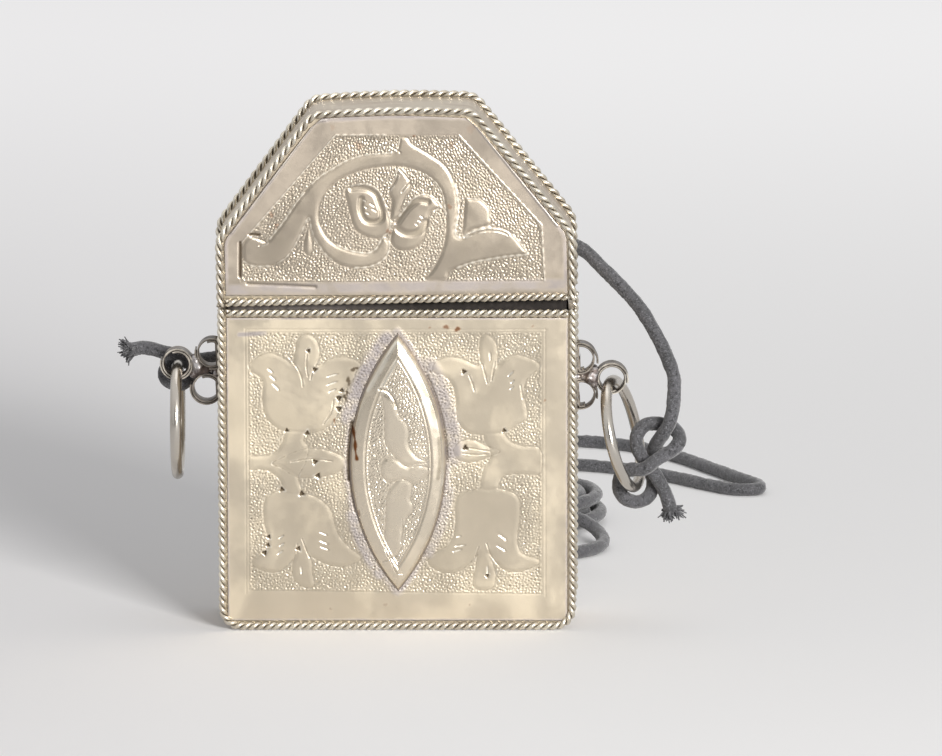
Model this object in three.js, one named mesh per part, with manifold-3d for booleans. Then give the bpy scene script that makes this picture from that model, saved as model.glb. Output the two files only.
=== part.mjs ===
// An amulet box: a flat sheet-metal case with a slip-on cap, twisted wire edging, a raised boss,
// three rolled rings and a hanging ring on each side, and a knotted neck cord.
// Millimetres, +Z up, -Y is the front. The origin is on the surface that the box stands on,
// under the middle of its body.
import * as THREE from "three";
import { mergeVertices } from "three/addons/utils/BufferGeometryUtils.js";
import Module from "manifold-3d";

const wasm = await Module();
wasm.setup();

// Case, measured over the wire edging
const BOX_WIDTH = 50.7;
const BODY_HEIGHT = 46.1;
const BODY_CORNER = 3.2;
const LID_HEIGHT = 28.05;
const LID_SHOULDER_HEIGHT = 9.8;
const LID_TOP_WIDTH = 23.1;
const LID_CROWN = 0.5;
const LID_SHOULDER_ROUND = 4;
const LID_TOP_ROUND = 3.2;
const LID_CROWN_ROUND = 110;

// How the cap sits on the body: a little askew, open on the right
const SEAM_GAP = 0.25;
const LID_TILT_DEG = 1.1;
const LID_SHIFT = -0.05;

// Sheet metal
const BAND_DEPTH = 12.4;
const BAND_SHEET = 0.7;
const WALL_SHEET = 0.6;
const PANEL_SHEET = 0.45;
const FIELD_RECESS = 0.15;
const PANEL_ROUND = 2;

// Collar inside the body, over which the cap slides
const COLLAR_SHEET = 0.5;
const COLLAR_CLEARANCE = 0.35;
const COLLAR_RISE = 6.4;
const COLLAR_DROP = 8;
const COLLAR_ROUND = 1;

// Twisted wire edging
const WIRE_EDGE = 1.16;
const WIRE_EDGE_WAIST = 0.62;
const WIRE_EDGE_PROUD = 0.45;
const WIRE_EDGE_LAY = 4.72;
const WIRE_EDGE_STEPS = 6;
const WIRE_EDGE_SEAT = 0.08;
const WIRE_END_GAP = 0.15;
const BACK_EDGE_OUTSET = 0.45;

// Chased fields of the two front panels, by their margins from the outside of the wire edging
const BODY_FIELD_SIDE_MARGIN = 4.75;
const BODY_FIELD_FOOT_MARGIN = 4.9;
const BODY_FIELD_TOP_MARGIN = 3.3;
const LID_FIELD_SIDE_MARGIN = 4.35;
const LID_FIELD_FOOT_MARGIN = 3.3;
const LID_FIELD_TOP_MARGIN = 4.25;
const LID_FIELD_SHOULDER_DROP = 0.1;
const LID_FIELD_TOP_INSET = 2.95;

// Boss: a pointed oval with a steep rim and a shallow dome, almost as high as the body's field
const BOSS_WIDTH = 13.8;
const BOSS_FOOT_MARGIN = 5.5;
const BOSS_TOP_MARGIN = 3.4;
const BOSS_RISE = 2.1;
const BOSS_RIM_RISE = 1.4;
const BOSS_RIM_WIDTH = 1.15;
const BOSS_ARC_STEPS = 12;

// Rolled rings, each a strip wound about twice
const ROLL_DIAMETER = 4.9;
const ROLL_STRIP = 0.26;
const ROLL_PITCH = 0.34;
const ROLL_TURNS = 1.85;
const ROLL_WIDTH = 2.8;
const ROLL_SEAT = 0.1;
const ROLL_STEPS = 20;
const SOLDER_GAP = 0.12;
const SOLDER_WIDTH = 2.2;
const SOLDER_CUSP = 0.9;
// centres of the upper, lower and outer ring on each side: out from the band, down from the seam
const ROLLS = {
  left: { side: -1, upper: [1.45, 7.4], lower: [2.15, 12.45], outer: [6.35, 8.9] },
  right: { side: 1, upper: [0.95, 8.2], lower: [1.1, 13.3], outer: [5.4, 11.1] },
};

// Hanging rings, each a plain wire ring through the outer rolled ring
const RING_WIRE = 1.6;
const RING_DIAMETER = 17;
const RING_DROP = 0.5;
const RING_SIDES = 8;
const RING_STEPS = 36;
const RIGHT_RING_YAW_DEG = 14;
const RIGHT_RING_TILT_DEG = 13.5;

// Neck cord
const CORD = 2;
const CORD_SIDES = 8;
const CORD_STEP = 6;
const CORD_JOIN_GAP = 0.3;
const KNOT_STEP = 1.3;
const LEFT_KNOT_PLACE_DEG = 38;
const KNOT_TURN_RADIUS = 2.05;
const KNOT_TURN_PITCH = 2.4;
const KNOT_TURN_STEPS = 10;
const COIL_CENTRE = [17.5, 73.5];
const COIL_RADIUS = 13.9;
const COIL_PITCH = 2.5;
const COIL_IN_TURNS = 2.375;
const COIL_CLIMB_TURNS = 0.5;
const COIL_SIDES = 6;
const COIL_STEPS = 24;
const COIL_START_DEG = 180;
const TIE_SHEET = 0.5;
const TIE_WIDTH = 2;
const TIE_GAP = 0.15;
const TIE_PLACE_DEG = 100;

// Right knot, from the neck cord round the ring's foot to the tail: offsets from the ring's foot
const RIGHT_KNOT = [
  [5.3, -0.7, 11.8], [5.1, -1.3, 10.7], [4.7, -1.8, 9.3], [3.9, -1.5, 7.9], [3.1, -0.2, 6.4],
  [2.6, 1.3, 4.9], [2.4, 2.2, 3.3], [2.4, 2.2, 1.8], [2.6, 1.7, 0.5], [2.4, 1, -0.7],
  [1.6, 0.5, -1.9], [0, 0.1, -2.3], [-1.6, -0.4, -1.6], [-2.4, -0.8, 0.1], [-2, -1.3, 1.9],
  [-0.6, -2.1, 2.8], [0.8, -2.8, 2.9], [1.7, -3.1, 3.4], [2.6, -2.9, 4.1], [3.8, -2.4, 4.8],
  [5.2, -1.8, 5.5], [6.1, -1.2, 6.5], [6.1, -0.3, 7.5], [5.3, 0.5, 8.3], [4.1, 0.9, 8.7],
  [2.9, 0.8, 8.9], [1.6, 0.6, 8.8], [0.6, 0.3, 8], [0.1, 0, 6.9], [0.2, -0.3, 5.7],
  [0.9, -0.5, 4.3], [1.8, -0.6, 3.1], [2.8, -0.8, 1.7], [3.8, -0.8, 0], [4.5, -0.5, -1.7],
  [5, -0.3, -3.5],
];
// Free cord, as routes of chosen points: from the right knot, behind the cap, down and round to
// the coil, and from the coil to the left knot
const RIGHT_ROUTE = [
  [39.2, 0.9, 34.9], [38.1, 2.8, 37.9], [36.4, 4.6, 41.1], [34.4, 6.2, 44.1], [31.7, 7.7, 47],
  [29, 8.9, 49.5], [26.6, 9.8, 51.7], [22.6, 10.3, 53.3], [18.2, 10.7, 53.6], [14, 11.3, 52.2],
  [9.6, 12.4, 49], [5.4, 14.1, 44.2], [1.2, 16.6, 37.6], [-2.6, 19.8, 29.6], [-6, 23.8, 20.8],
  [-9, 28.6, 12.4], [-11.4, 34.6, 5.6], [-13.2, 42, 1.8], [-14.4, 51, 1], [-15, 62, 1],
  [-15, 76, 1], [-14, 92, 1], [-11, 108, 1], [-5, 121.5, 1], [4, 131, 1], [15, 135.6, 1],
  [27.7, 136, 1], [36.3, 131.5, 1], [43.6, 121.8, 1], [49.2, 110.5, 1], [53.4, 101.8, 1],
  [55.4, 97.6, 1], [55, 94.4, 1], [51.9, 94, 1], [47.8, 97.7, 1], [43, 103.6, 1],
  [36, 110.4, 1], [27.4, 115, 1], [17, 115.6, 1], [8.6, 110, 1], [4, 101, 1], [3, 91, 1.2],
];
const RIGHT_NECK_LENGTH = 46;
const LEFT_ROUTE = [
  [25, 59.1, 3.7], [28.6, 56.6, 2.5], [30.2, 52.4, 1.3], [29.2, 47.6, 1], [25.2, 43.2, 1],
  [19, 39.4, 1], [12, 35.4, 1], [5, 30.6, 1.3], [-1, 25.4, 4.4], [-6, 20.6, 10.6],
  [-10.4, 16.4, 18.6], [-14.4, 13.2, 26.4], [-18.2, 11.1, 32.4], [-21.6, 10, 35.6],
];
const LEFT_NECK_LENGTH = 22;

// Values that follow from the ones above
const HALF_WIDTH = BOX_WIDTH / 2;
const WALL_FACE = BAND_DEPTH / 2 + WALL_SHEET;
const EDGE_Y = WALL_FACE + WIRE_EDGE_SEAT + WIRE_EDGE / 2;
const PANEL_FACE = WALL_FACE + PANEL_SHEET;
const PANEL_INSET = WIRE_EDGE + WIRE_END_GAP;
const BAND_X = HALF_WIDTH - WIRE_EDGE_PROUD;
const BOSS_HEIGHT = BODY_HEIGHT - BOSS_FOOT_MARGIN - BOSS_TOP_MARGIN;
const BOSS_CENTRE_Z = BOSS_FOOT_MARGIN + BOSS_HEIGHT / 2;
const COLLAR_HALF_X = BAND_X - BAND_SHEET - COLLAR_CLEARANCE;
const COLLAR_HALF_Y = BAND_DEPTH / 2 - COLLAR_CLEARANCE;
const RING_RADIUS = (RING_DIAMETER - RING_WIRE) / 2;
const CORD_RADIUS = CORD / 2;
const COIL_FLOOR = TIE_SHEET + TIE_GAP;

const SHEET_LOOK = { color: 0xc9bda6, roughness: 0.42, metalness: 0.9 };
const LID_LOOK = { color: 0xbdb09b, roughness: 0.45, metalness: 0.9 };
const EDGE_LOOK = { color: 0xcfc6b6, roughness: 0.33, metalness: 0.95 };
const BAND_LOOK = { color: 0x9d9284, roughness: 0.5, metalness: 0.9 };
const BOSS_LOOK = { color: 0xd2cab9, roughness: 0.3, metalness: 0.95 };
const ROLL_LOOK = { color: 0x8f8778, roughness: 0.4, metalness: 0.95 };
const RING_LOOK = { color: 0xd8d5d0, roughness: 0.18, metalness: 1 };
const SOLDER_LOOK = { color: 0x8a8590, roughness: 0.6, metalness: 0.8 };
const CORD_LOOK = { color: 0x3c3c40, roughness: 0.85, metalness: 0 };
const TIE_LOOK = { color: 0x2c2c30, roughness: 0.9, metalness: 0 };

function addPart(parent, name, geometry, look) {
  const mesh = new THREE.Mesh(geometry, new THREE.MeshStandardMaterial(look));
  mesh.name = name;
  parent.add(mesh);
  return mesh;
}

function vectors(points) {
  return points.map((point) => new THREE.Vector3(...point));
}

function solidOf(geometry) {
  const bare = new THREE.BufferGeometry();
  bare.setAttribute("position", geometry.getAttribute("position"));
  bare.setIndex(geometry.index);
  const merged = mergeVertices(bare, 1e-4);
  const mesh = new wasm.Mesh({
    numProp: 3,
    vertProperties: new Float32Array(merged.attributes.position.array),
    triVerts: new Uint32Array(merged.index.array),
  });
  return new wasm.Manifold(mesh);
}

function geometryOf(solid) {
  const mesh = solid.getMesh();
  const geometry = new THREE.BufferGeometry();
  geometry.setAttribute("position", new THREE.BufferAttribute(mesh.vertProperties, 3));
  geometry.setIndex(new THREE.BufferAttribute(mesh.triVerts, 1));
  return geometry;
}

// Outlines. Each is an open line of corners {x, z, r} that runs clockwise seen from the front,
// from one end of the seam, round the foot or the top, to the other.
function bodyCorners(grow) {
  const half = HALF_WIDTH + grow;
  return [
    { x: half, z: BODY_HEIGHT, r: 0 },
    { x: half, z: 0, r: BODY_CORNER },
    { x: -half, z: 0, r: BODY_CORNER },
    { x: -half, z: BODY_HEIGHT, r: 0 },
  ];
}

function lidCorners() {
  const top = LID_TOP_WIDTH / 2;
  return [
    { x: -HALF_WIDTH, z: 0, r: 0 },
    { x: -HALF_WIDTH, z: LID_SHOULDER_HEIGHT, r: LID_SHOULDER_ROUND },
    { x: -top, z: LID_HEIGHT - LID_CROWN, r: LID_TOP_ROUND },
    { x: 0, z: LID_HEIGHT, r: LID_CROWN_ROUND },
    { x: top, z: LID_HEIGHT - LID_CROWN, r: LID_TOP_ROUND },
    { x: HALF_WIDTH, z: LID_SHOULDER_HEIGHT, r: LID_SHOULDER_ROUND },
    { x: HALF_WIDTH, z: 0, r: 0 },
  ];
}

// The outline moved inwards, its two ends cut at a height.
function movedIn(corners, distance, endHeight) {
  const lines = corners.slice(1).map((next, i) => {
    const dx = next.x - corners[i].x;
    const dz = next.z - corners[i].z;
    const length = Math.hypot(dx, dz);
    const normal = [dz / length, -dx / length];
    return { normal, reach: corners[i].x * normal[0] + corners[i].z * normal[1] + distance };
  });
  return corners.map((corner, i) => {
    if (i === 0 || i === corners.length - 1) {
      const line = lines[Math.min(i, lines.length - 1)];
      return { x: line.reach / line.normal[0], z: endHeight, r: 0 };
    }
    const a = lines[i - 1];
    const b = lines[i];
    const det = a.normal[0] * b.normal[1] - a.normal[1] * b.normal[0];
    return {
      x: (a.reach * b.normal[1] - b.reach * a.normal[1]) / det,
      z: (b.reach * a.normal[0] - a.reach * b.normal[0]) / det,
      r: Math.max(corner.r - distance, WALL_SHEET / 2),
    };
  });
}

// The same line with each corner rounded by an arc of short chords.
function rounded(corners, chordDeg = 15) {
  const points = [];
  corners.forEach((corner, i) => {
    const here = new THREE.Vector2(corner.x, corner.z);
    if (i === 0 || i === corners.length - 1 || corner.r === 0) {
      points.push(here);
      return;
    }
    const before = new THREE.Vector2(corners[i - 1].x, corners[i - 1].z).sub(here).normalize();
    const after = new THREE.Vector2(corners[i + 1].x, corners[i + 1].z).sub(here).normalize();
    const turn = Math.PI - before.angleTo(after);
    const reach = corner.r * Math.tan(turn / 2);
    const middle = before.clone().add(after).normalize();
    const centre = here.clone().addScaledVector(middle, Math.hypot(reach, corner.r));
    const start = here.clone().addScaledVector(before, reach).sub(centre);
    const steps = Math.max(2, Math.ceil(turn / THREE.MathUtils.degToRad(chordDeg)));
    const way = Math.sign(before.y * after.x - before.x * after.y);
    for (let k = 0; k <= steps; k++) {
      const angle = (way * turn * k) / steps;
      points.push(start.clone().rotateAround(new THREE.Vector2(), angle).add(centre));
    }
  });
  return points;
}

// A flat sheet with this outline in X and Z, from y to y + thickness. A hole runs the same way
// round as the outline.
function sheet(points, y, thickness, hole) {
  const shape = new THREE.Shape(points);
  if (hole) shape.holes.push(new THREE.Path([...hole].reverse()));
  const geometry = new THREE.ExtrudeGeometry(shape, { depth: thickness, bevelEnabled: false });
  return geometry.rotateX(Math.PI / 2).translate(0, y + thickness, 0);
}

// A closed body through rings of points, each ring turning by the right hand about the way on.
function skinned(rings) {
  const positions = rings.flat().flatMap((point) => point.toArray());
  const sides = rings[0].length;
  const last = (rings.length - 1) * sides;
  const faces = [];
  for (let k = 0; k < last; k += sides) {
    for (let j = 0; j < sides; j++) {
      const next = (j + 1) % sides;
      faces.push(k + j, k + next, k + sides + next);
      faces.push(k + j, k + sides + next, k + sides + j);
    }
  }
  for (let j = 1; j < sides - 1; j++) {
    faces.push(0, j + 1, j);
    faces.push(last, last + j, last + j + 1);
  }
  const geometry = new THREE.BufferGeometry();
  geometry.setAttribute("position", new THREE.Float32BufferAttribute(positions, 3));
  return geometry.setIndex(faces);
}

// Two wires twisted together: a two-lobed bar that turns as it follows a line in a plane of
// constant y.
function twistedEdge(line, y) {
  const path = new THREE.CurvePath();
  line.slice(1).forEach((next, i) => path.add(new THREE.LineCurve(line[i], next)));
  const length = path.getLength();
  const steps = Math.max(2, Math.round((length * WIRE_EDGE_STEPS) / WIRE_EDGE_LAY));
  const rings = [];
  for (let k = 0; k <= steps; k++) {
    const centre = path.getPointAt(k / steps);
    const way = path.getTangentAt(k / steps);
    const twist = (-2 * Math.PI * length * k) / (steps * WIRE_EDGE_LAY);
    const ring = [0, 1, 2, 3].map((corner) => {
      const angle = twist + (corner * Math.PI) / 2;
      const reach = (corner % 2 === 0 ? WIRE_EDGE : WIRE_EDGE_WAIST) / 2;
      const inwards = reach * Math.cos(angle);
      const across = reach * Math.sin(angle);
      return new THREE.Vector3(
        centre.x + way.y * inwards,
        y + across,
        centre.y - way.x * inwards,
      );
    });
    rings.push(ring);
  }
  return skinned(rings);
}

// The wire edging of one face: the long length round the outline and the straight one along
// the seam, at seamHeight.
function edging(parent, prefix, corners, inset, y, seamHeight) {
  const side = Math.sign(seamHeight - corners[1].z);
  const end = seamHeight + (side * (WIRE_EDGE - WIRE_END_GAP)) / 2;
  addPart(parent, `${prefix}_edge_wire`, twistedEdge(rounded(movedIn(corners, inset, end)), y),
    EDGE_LOOK);
  const half = HALF_WIDTH - WIRE_EDGE - WIRE_END_GAP;
  const seam = [new THREE.Vector2(-half, seamHeight), new THREE.Vector2(half, seamHeight)];
  addPart(parent, `${prefix}_seam_wire`, twistedEdge(seam, y), EDGE_LOOK);
}

// The U-shaped band between the front and back walls, open at the seam.
function band(corners, endHeight) {
  const outside = rounded(movedIn(corners, WIRE_EDGE_PROUD, endHeight));
  const inside = rounded(movedIn(corners, WIRE_EDGE_PROUD + BAND_SHEET, endHeight));
  return sheet([...outside, ...inside.reverse()], -BAND_DEPTH / 2, BAND_DEPTH);
}

function wall(corners, endHeight, y) {
  return sheet(rounded(movedIn(corners, WIRE_EDGE_PROUD, endHeight)), y, WALL_SHEET);
}

// An applied front sheet: a raised margin round a recessed field.
function panel(outline, field) {
  const back = sheet(outline, -PANEL_FACE + FIELD_RECESS, PANEL_SHEET - FIELD_RECESS);
  const margin = sheet(outline, -PANEL_FACE, PANEL_SHEET, field);
  return geometryOf(solidOf(back).add(solidOf(margin)));
}

function bodyPanel() {
  const half = HALF_WIDTH - PANEL_INSET;
  const foot = PANEL_INSET;
  const top = BODY_HEIGHT - PANEL_INSET;
  const outline = rounded([
    { x: 0, z: top, r: 0 },
    { x: half, z: top, r: PANEL_ROUND },
    { x: half, z: foot, r: PANEL_ROUND },
    { x: -half, z: foot, r: PANEL_ROUND },
    { x: -half, z: top, r: PANEL_ROUND },
    { x: 0, z: top, r: 0 },
  ]).slice(1);
  const fieldHalf = HALF_WIDTH - BODY_FIELD_SIDE_MARGIN;
  const fieldTop = BODY_HEIGHT - BODY_FIELD_TOP_MARGIN;
  const field = [
    new THREE.Vector2(fieldHalf, fieldTop),
    new THREE.Vector2(fieldHalf, BODY_FIELD_FOOT_MARGIN),
    new THREE.Vector2(-fieldHalf, BODY_FIELD_FOOT_MARGIN),
    new THREE.Vector2(-fieldHalf, fieldTop),
  ];
  return panel(outline, field);
}

function lidPanel() {
  const outline = rounded(movedIn(lidCorners(), PANEL_INSET, PANEL_INSET));
  const half = HALF_WIDTH - LID_FIELD_SIDE_MARGIN;
  const halfTop = LID_TOP_WIDTH / 2 - LID_FIELD_TOP_INSET;
  const top = LID_HEIGHT - LID_FIELD_TOP_MARGIN;
  const shoulder = LID_SHOULDER_HEIGHT - LID_FIELD_SHOULDER_DROP;
  const field = [
    new THREE.Vector2(-half, LID_FIELD_FOOT_MARGIN),
    new THREE.Vector2(-half, shoulder),
    new THREE.Vector2(-halfTop, top),
    new THREE.Vector2(halfTop, top),
    new THREE.Vector2(half, shoulder),
    new THREE.Vector2(half, LID_FIELD_FOOT_MARGIN),
  ];
  return panel(outline, field);
}

// One ring of the boss: the pointed oval drawn in by a distance, counted round from its foot.
function pointedOval(inset, y) {
  const a = BOSS_WIDTH / 2;
  const b = BOSS_HEIGHT / 2;
  const arc = (a * a + b * b) / (2 * a);
  const radius = arc - inset;
  const spread = Math.acos((arc - a) / radius);
  const points = [];
  [1, -1].forEach((side) => {
    for (let k = 0; k < BOSS_ARC_STEPS; k++) {
      const angle = spread * ((2 * k) / BOSS_ARC_STEPS - 1);
      const x = side * (radius * Math.cos(angle) - (arc - a));
      points.push(new THREE.Vector3(x, y, BOSS_CENTRE_Z + side * radius * Math.sin(angle)));
    }
  });
  return points;
}

function boss() {
  const rim = BOSS_RIM_RISE;
  const dome = BOSS_RISE - BOSS_RIM_RISE;
  const inner = BOSS_RIM_WIDTH;
  const rest = BOSS_WIDTH / 2 - inner;
  const profile = [
    [0, 0], [0.05, rim * 0.4], [inner * 0.6, rim * 0.94], [inner, rim],
    [inner + rest * 0.25, rim + dome * 0.45], [inner + rest * 0.55, rim + dome * 0.85],
    [inner + rest * 0.85, rim + dome],
  ];
  return skinned(profile.map(([inset, rise]) => pointedOval(inset, -PANEL_FACE - rise)));
}

function collar() {
  const outline = (x, y, r) => {
    const shape = new THREE.Path();
    shape.moveTo(x - r, -y);
    shape.absarc(x - r, r - y, r, -Math.PI / 2, 0);
    shape.absarc(x - r, y - r, r, 0, Math.PI / 2);
    shape.absarc(r - x, y - r, r, Math.PI / 2, Math.PI);
    shape.absarc(r - x, r - y, r, Math.PI, (3 * Math.PI) / 2);
    return shape.getPoints(3);
  };
  const shape = new THREE.Shape(outline(COLLAR_HALF_X, COLLAR_HALF_Y, COLLAR_ROUND));
  const inX = COLLAR_HALF_X - COLLAR_SHEET;
  const inY = COLLAR_HALF_Y - COLLAR_SHEET;
  shape.holes.push(new THREE.Path(outline(inX, inY, COLLAR_ROUND - COLLAR_SHEET / 2)));
  const depth = COLLAR_DROP + COLLAR_RISE;
  const geometry = new THREE.ExtrudeGeometry(shape, { depth, bevelEnabled: false });
  return geometry.translate(0, 0, BODY_HEIGHT - WIRE_EDGE_PROUD - COLLAR_DROP);
}

// A strip wound into a ring about twice, its axis along Y. flat is the distance from its middle
// at which it lies flat against the side of the box, which is on the +X side of it.
function rolledRing(flat) {
  const outer = ROLL_DIAMETER / 2;
  const count = Math.round(ROLL_TURNS * ROLL_STEPS);
  const point = (k, depth) => {
    const back = ((count - k) / ROLL_STEPS) * ROLL_PITCH + depth;
    const angle = Math.PI * 0.62 - (2 * Math.PI * k) / ROLL_STEPS;
    const face = Math.cos(angle) > 0 ? (flat - back) / Math.cos(angle) : Infinity;
    const reach = Math.min(outer - back, face);
    return new THREE.Vector2(reach * Math.cos(angle), reach * Math.sin(angle));
  };
  const steps = Array.from({ length: count + 1 }, (_, k) => k);
  const outside = steps.map((k) => point(k, 0));
  const inside = steps.map((k) => point(k, ROLL_STRIP)).reverse();
  return sheet([...outside, ...inside], -ROLL_WIDTH / 2, ROLL_WIDTH);
}

// Solder that fills the hollow between three rolled rings.
function solder(centres) {
  const middle = centres[0].clone().add(centres[1]).add(centres[2]).divideScalar(3);
  const reach = ROLL_DIAMETER / 2 + SOLDER_GAP;
  const cusp = (a, b) => {
    const half = a.clone().add(b).divideScalar(2);
    return half.add(middle.clone().sub(half).setLength(SOLDER_CUSP));
  };
  const points = centres.flatMap((centre, i) => {
    const before = cusp(centres[(i + 2) % 3], centre).sub(centre);
    const after = cusp(centre, centres[(i + 1) % 3]).sub(centre);
    const turn = Math.atan2(before.cross(after), before.dot(after));
    return [0, 0.25, 0.5, 0.75, 1].map((share) =>
      before.clone().rotateAround(new THREE.Vector2(), turn * share).setLength(reach).add(centre),
    );
  });
  return sheet(points, -SOLDER_WIDTH / 2, SOLDER_WIDTH);
}

function rollCentre(place, which) {
  const [out, down] = place[which];
  return new THREE.Vector2(place.side * (BAND_X + out), BODY_HEIGHT - down);
}

function rollCluster(parent, name, place) {
  const centres = ["upper", "lower", "outer"].map((which) => {
    const centre = rollCentre(place, which);
    const geometry = rolledRing(which === "outer" ? Infinity : place[which][0] - ROLL_SEAT);
    if (place.side > 0) geometry.rotateZ(Math.PI);
    geometry.translate(centre.x, 0, centre.y);
    addPart(parent, `${name}_${which}_rolled_ring`, geometry, ROLL_LOOK);
    return centre;
  });
  addPart(parent, `${name}_ring_solder`, solder(centres), SOLDER_LOOK);
}

function roundSection(diameter, sides) {
  const points = Array.from({ length: sides }, (_, k) => {
    const angle = (2 * Math.PI * k) / sides;
    return new THREE.Vector2(Math.cos(angle), Math.sin(angle)).multiplyScalar(diameter / 2);
  });
  return new THREE.Shape(points);
}

function tube(points, diameter, sides, steps) {
  const extrudePath = new THREE.CatmullRomCurve3(points, false, "centripetal");
  const settings = { steps, bevelEnabled: false, extrudePath };
  return new THREE.ExtrudeGeometry(roundSection(diameter, sides), settings);
}

function cord(points, step = CORD_STEP) {
  const length = new THREE.CatmullRomCurve3(points, false, "centripetal").getLength();
  return tube(points, CORD, CORD_SIDES, Math.max(2, Math.round(length / step)));
}

// Two points that lead straight on from the first end of a cord, past the gap of a join.
function leadOn([end, next]) {
  const way = end.clone().sub(next).normalize();
  return [CORD_JOIN_GAP, CORD_JOIN_GAP + CORD].map((far) => end.clone().addScaledVector(way, far));
}

// One route of cord as two tubes with the gap of a join between them.
function cutCord(points, share) {
  const line = new THREE.CatmullRomCurve3(points, false, "centripetal");
  line.arcLengthDivisions = 2000;
  const length = line.getLength();
  const between = (from, to) => {
    const count = Math.round((to - from) / CORD);
    const at = (k) => line.getPointAt((from + ((to - from) * k) / count) / length);
    return cord(Array.from({ length: count + 1 }, (_, k) => at(k)));
  };
  const cut = share > 0 ? share : length + share;
  const half = CORD_JOIN_GAP / 2;
  return [between(0, cut - half), between(cut + half, length)];
}

// The least distance between parts of a wound cord that lie further apart along it than a
// few diameters, less its diameter.
function leastGap(points, diameter) {
  const line = new THREE.CatmullRomCurve3(points, false, "centripetal");
  const length = line.getLength();
  const samples = line.getSpacedPoints(Math.round(length / (diameter / 4)));
  const apart = 14;
  let least = Infinity;
  samples.forEach((here, i) => {
    for (let j = i + apart; j < samples.length; j++) {
      least = Math.min(least, here.distanceTo(samples[j]));
    }
  });
  return least - diameter;
}

// The coil's middle line: in on the lower layer, up in the half turn where the spiral turns
// back, out on the upper layer. It runs anticlockwise seen from above; its ends run straight.
function coilPoints() {
  const turns = 2 * COIL_IN_TURNS + COIL_CLIMB_TURNS;
  const count = Math.round(turns * COIL_STEPS);
  const at = (turn) => {
    const climbed = Math.min(Math.max((turn - COIL_IN_TURNS) / COIL_CLIMB_TURNS, 0), 1);
    const radius = COIL_RADIUS - COIL_PITCH * Math.min(turn, turns - turn);
    const angle = THREE.MathUtils.degToRad(COIL_START_DEG) + 2 * Math.PI * turn;
    return new THREE.Vector3(
      COIL_CENTRE[0] + radius * Math.cos(angle),
      COIL_CENTRE[1] + radius * Math.sin(angle),
      COIL_FLOOR + CORD_RADIUS + COIL_PITCH * climbed,
    );
  };
  const points = Array.from({ length: count + 1 }, (_, k) => at((turns * k) / count));
  const straight = (from, to) => to.clone().add(to.clone().sub(from).setLength(CORD));
  return [straight(points[1], points[0]), ...points, straight(points.at(-2), points.at(-1))];
}

function coil(points) {
  console.log(`coil: least gap between its turns ${leastGap(points, CORD).toFixed(2)} mm`);
  return tube(points, CORD, COIL_SIDES, points.length - 1);
}

// A flat loop round the coil's bundle of turns.
function coilTie() {
  const turns = COIL_IN_TURNS + COIL_CLIMB_TURNS / 2;
  const inner = COIL_RADIUS - COIL_PITCH * turns - CORD_RADIUS - TIE_GAP;
  const outer = COIL_RADIUS + CORD_RADIUS + TIE_GAP;
  const top = COIL_FLOOR + CORD + COIL_PITCH + TIE_GAP;
  const box = (low, high, foot, head) => [
    new THREE.Vector2(low, foot),
    new THREE.Vector2(high, foot),
    new THREE.Vector2(high, head),
    new THREE.Vector2(low, head),
  ];
  const outside = box(inner - TIE_SHEET, outer + TIE_SHEET, 0, top + TIE_SHEET);
  const geometry = sheet(outside, -TIE_WIDTH / 2, TIE_WIDTH, box(inner, outer, TIE_SHEET, top));
  geometry.rotateZ(THREE.MathUtils.degToRad(TIE_PLACE_DEG));
  return geometry.translate(COIL_CENTRE[0], COIL_CENTRE[1], 0);
}

// A ring hung in the outer rolled ring. Its group has its origin at the middle of the wire
// inside the rolled ring, where the ring turns.
function hangingRing(parent, name, place, yawDeg, tiltDeg) {
  const hung = new THREE.Group();
  const centre = rollCentre(place, "outer");
  hung.position.set(centre.x, 0, centre.y - RING_DROP);
  hung.rotation.order = "ZYX";
  hung.rotation.z = THREE.MathUtils.degToRad(-yawDeg);
  hung.rotation.y = THREE.MathUtils.degToRad(-place.side * tiltDeg);
  const geometry = new THREE.TorusGeometry(RING_RADIUS, RING_WIRE / 2, RING_SIDES, RING_STEPS);
  geometry.rotateY(Math.PI / 2).translate(0, 0, -RING_RADIUS);
  addPart(hung, `${name}_hanging_ring`, geometry, RING_LOOK);
  parent.add(hung);
  hung.updateMatrixWorld(true);
  return hung;
}

function rightKnotPoints(ring) {
  const foot = ring.localToWorld(new THREE.Vector3(0, 0, -2 * RING_RADIUS));
  return vectors(RIGHT_KNOT).map((offset) => offset.add(foot));
}

// A turn of cord round the back of the ring, near its top, from the neck side to the tail.
function leftKnotPoints(ring) {
  const angle = THREE.MathUtils.degToRad(LEFT_KNOT_PLACE_DEG);
  const out = new THREE.Vector3(0, Math.sin(angle), Math.cos(angle));
  const along = new THREE.Vector3(0, Math.cos(angle), -Math.sin(angle));
  const at = (x, away, down) => {
    const place = new THREE.Vector3(x, 0, -RING_RADIUS);
    place.addScaledVector(out, RING_RADIUS + away).addScaledVector(along, down);
    return ring.localToWorld(place);
  };
  const points = [at(4.6, 3.7, 2.9), at(3.2, 3.1, 2.2), at(1.6, 2.5, 1.5)];
  for (let k = 0; k <= KNOT_TURN_STEPS; k++) {
    const turn = k / KNOT_TURN_STEPS;
    const around = Math.PI / 2 + 2 * Math.PI * turn;
    const x = KNOT_TURN_RADIUS * Math.cos(around);
    const away = KNOT_TURN_RADIUS * Math.sin(around);
    points.push(at(x, away, KNOT_TURN_PITCH * (0.5 - turn)));
  }
  points.push(at(-1.9, 2.3, -1.4), at(-3.7, 2.8, -1.6), at(-5.4, 2.9, -1.7), at(-6.9, 2.5, -1.9));
  return points;
}

function addKnot(parent, name, points) {
  console.log(`${name}: least gap to itself ${leastGap(points, CORD).toFixed(2)} mm`);
  addPart(parent, name, cord(points, KNOT_STEP), CORD_LOOK);
}

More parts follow.
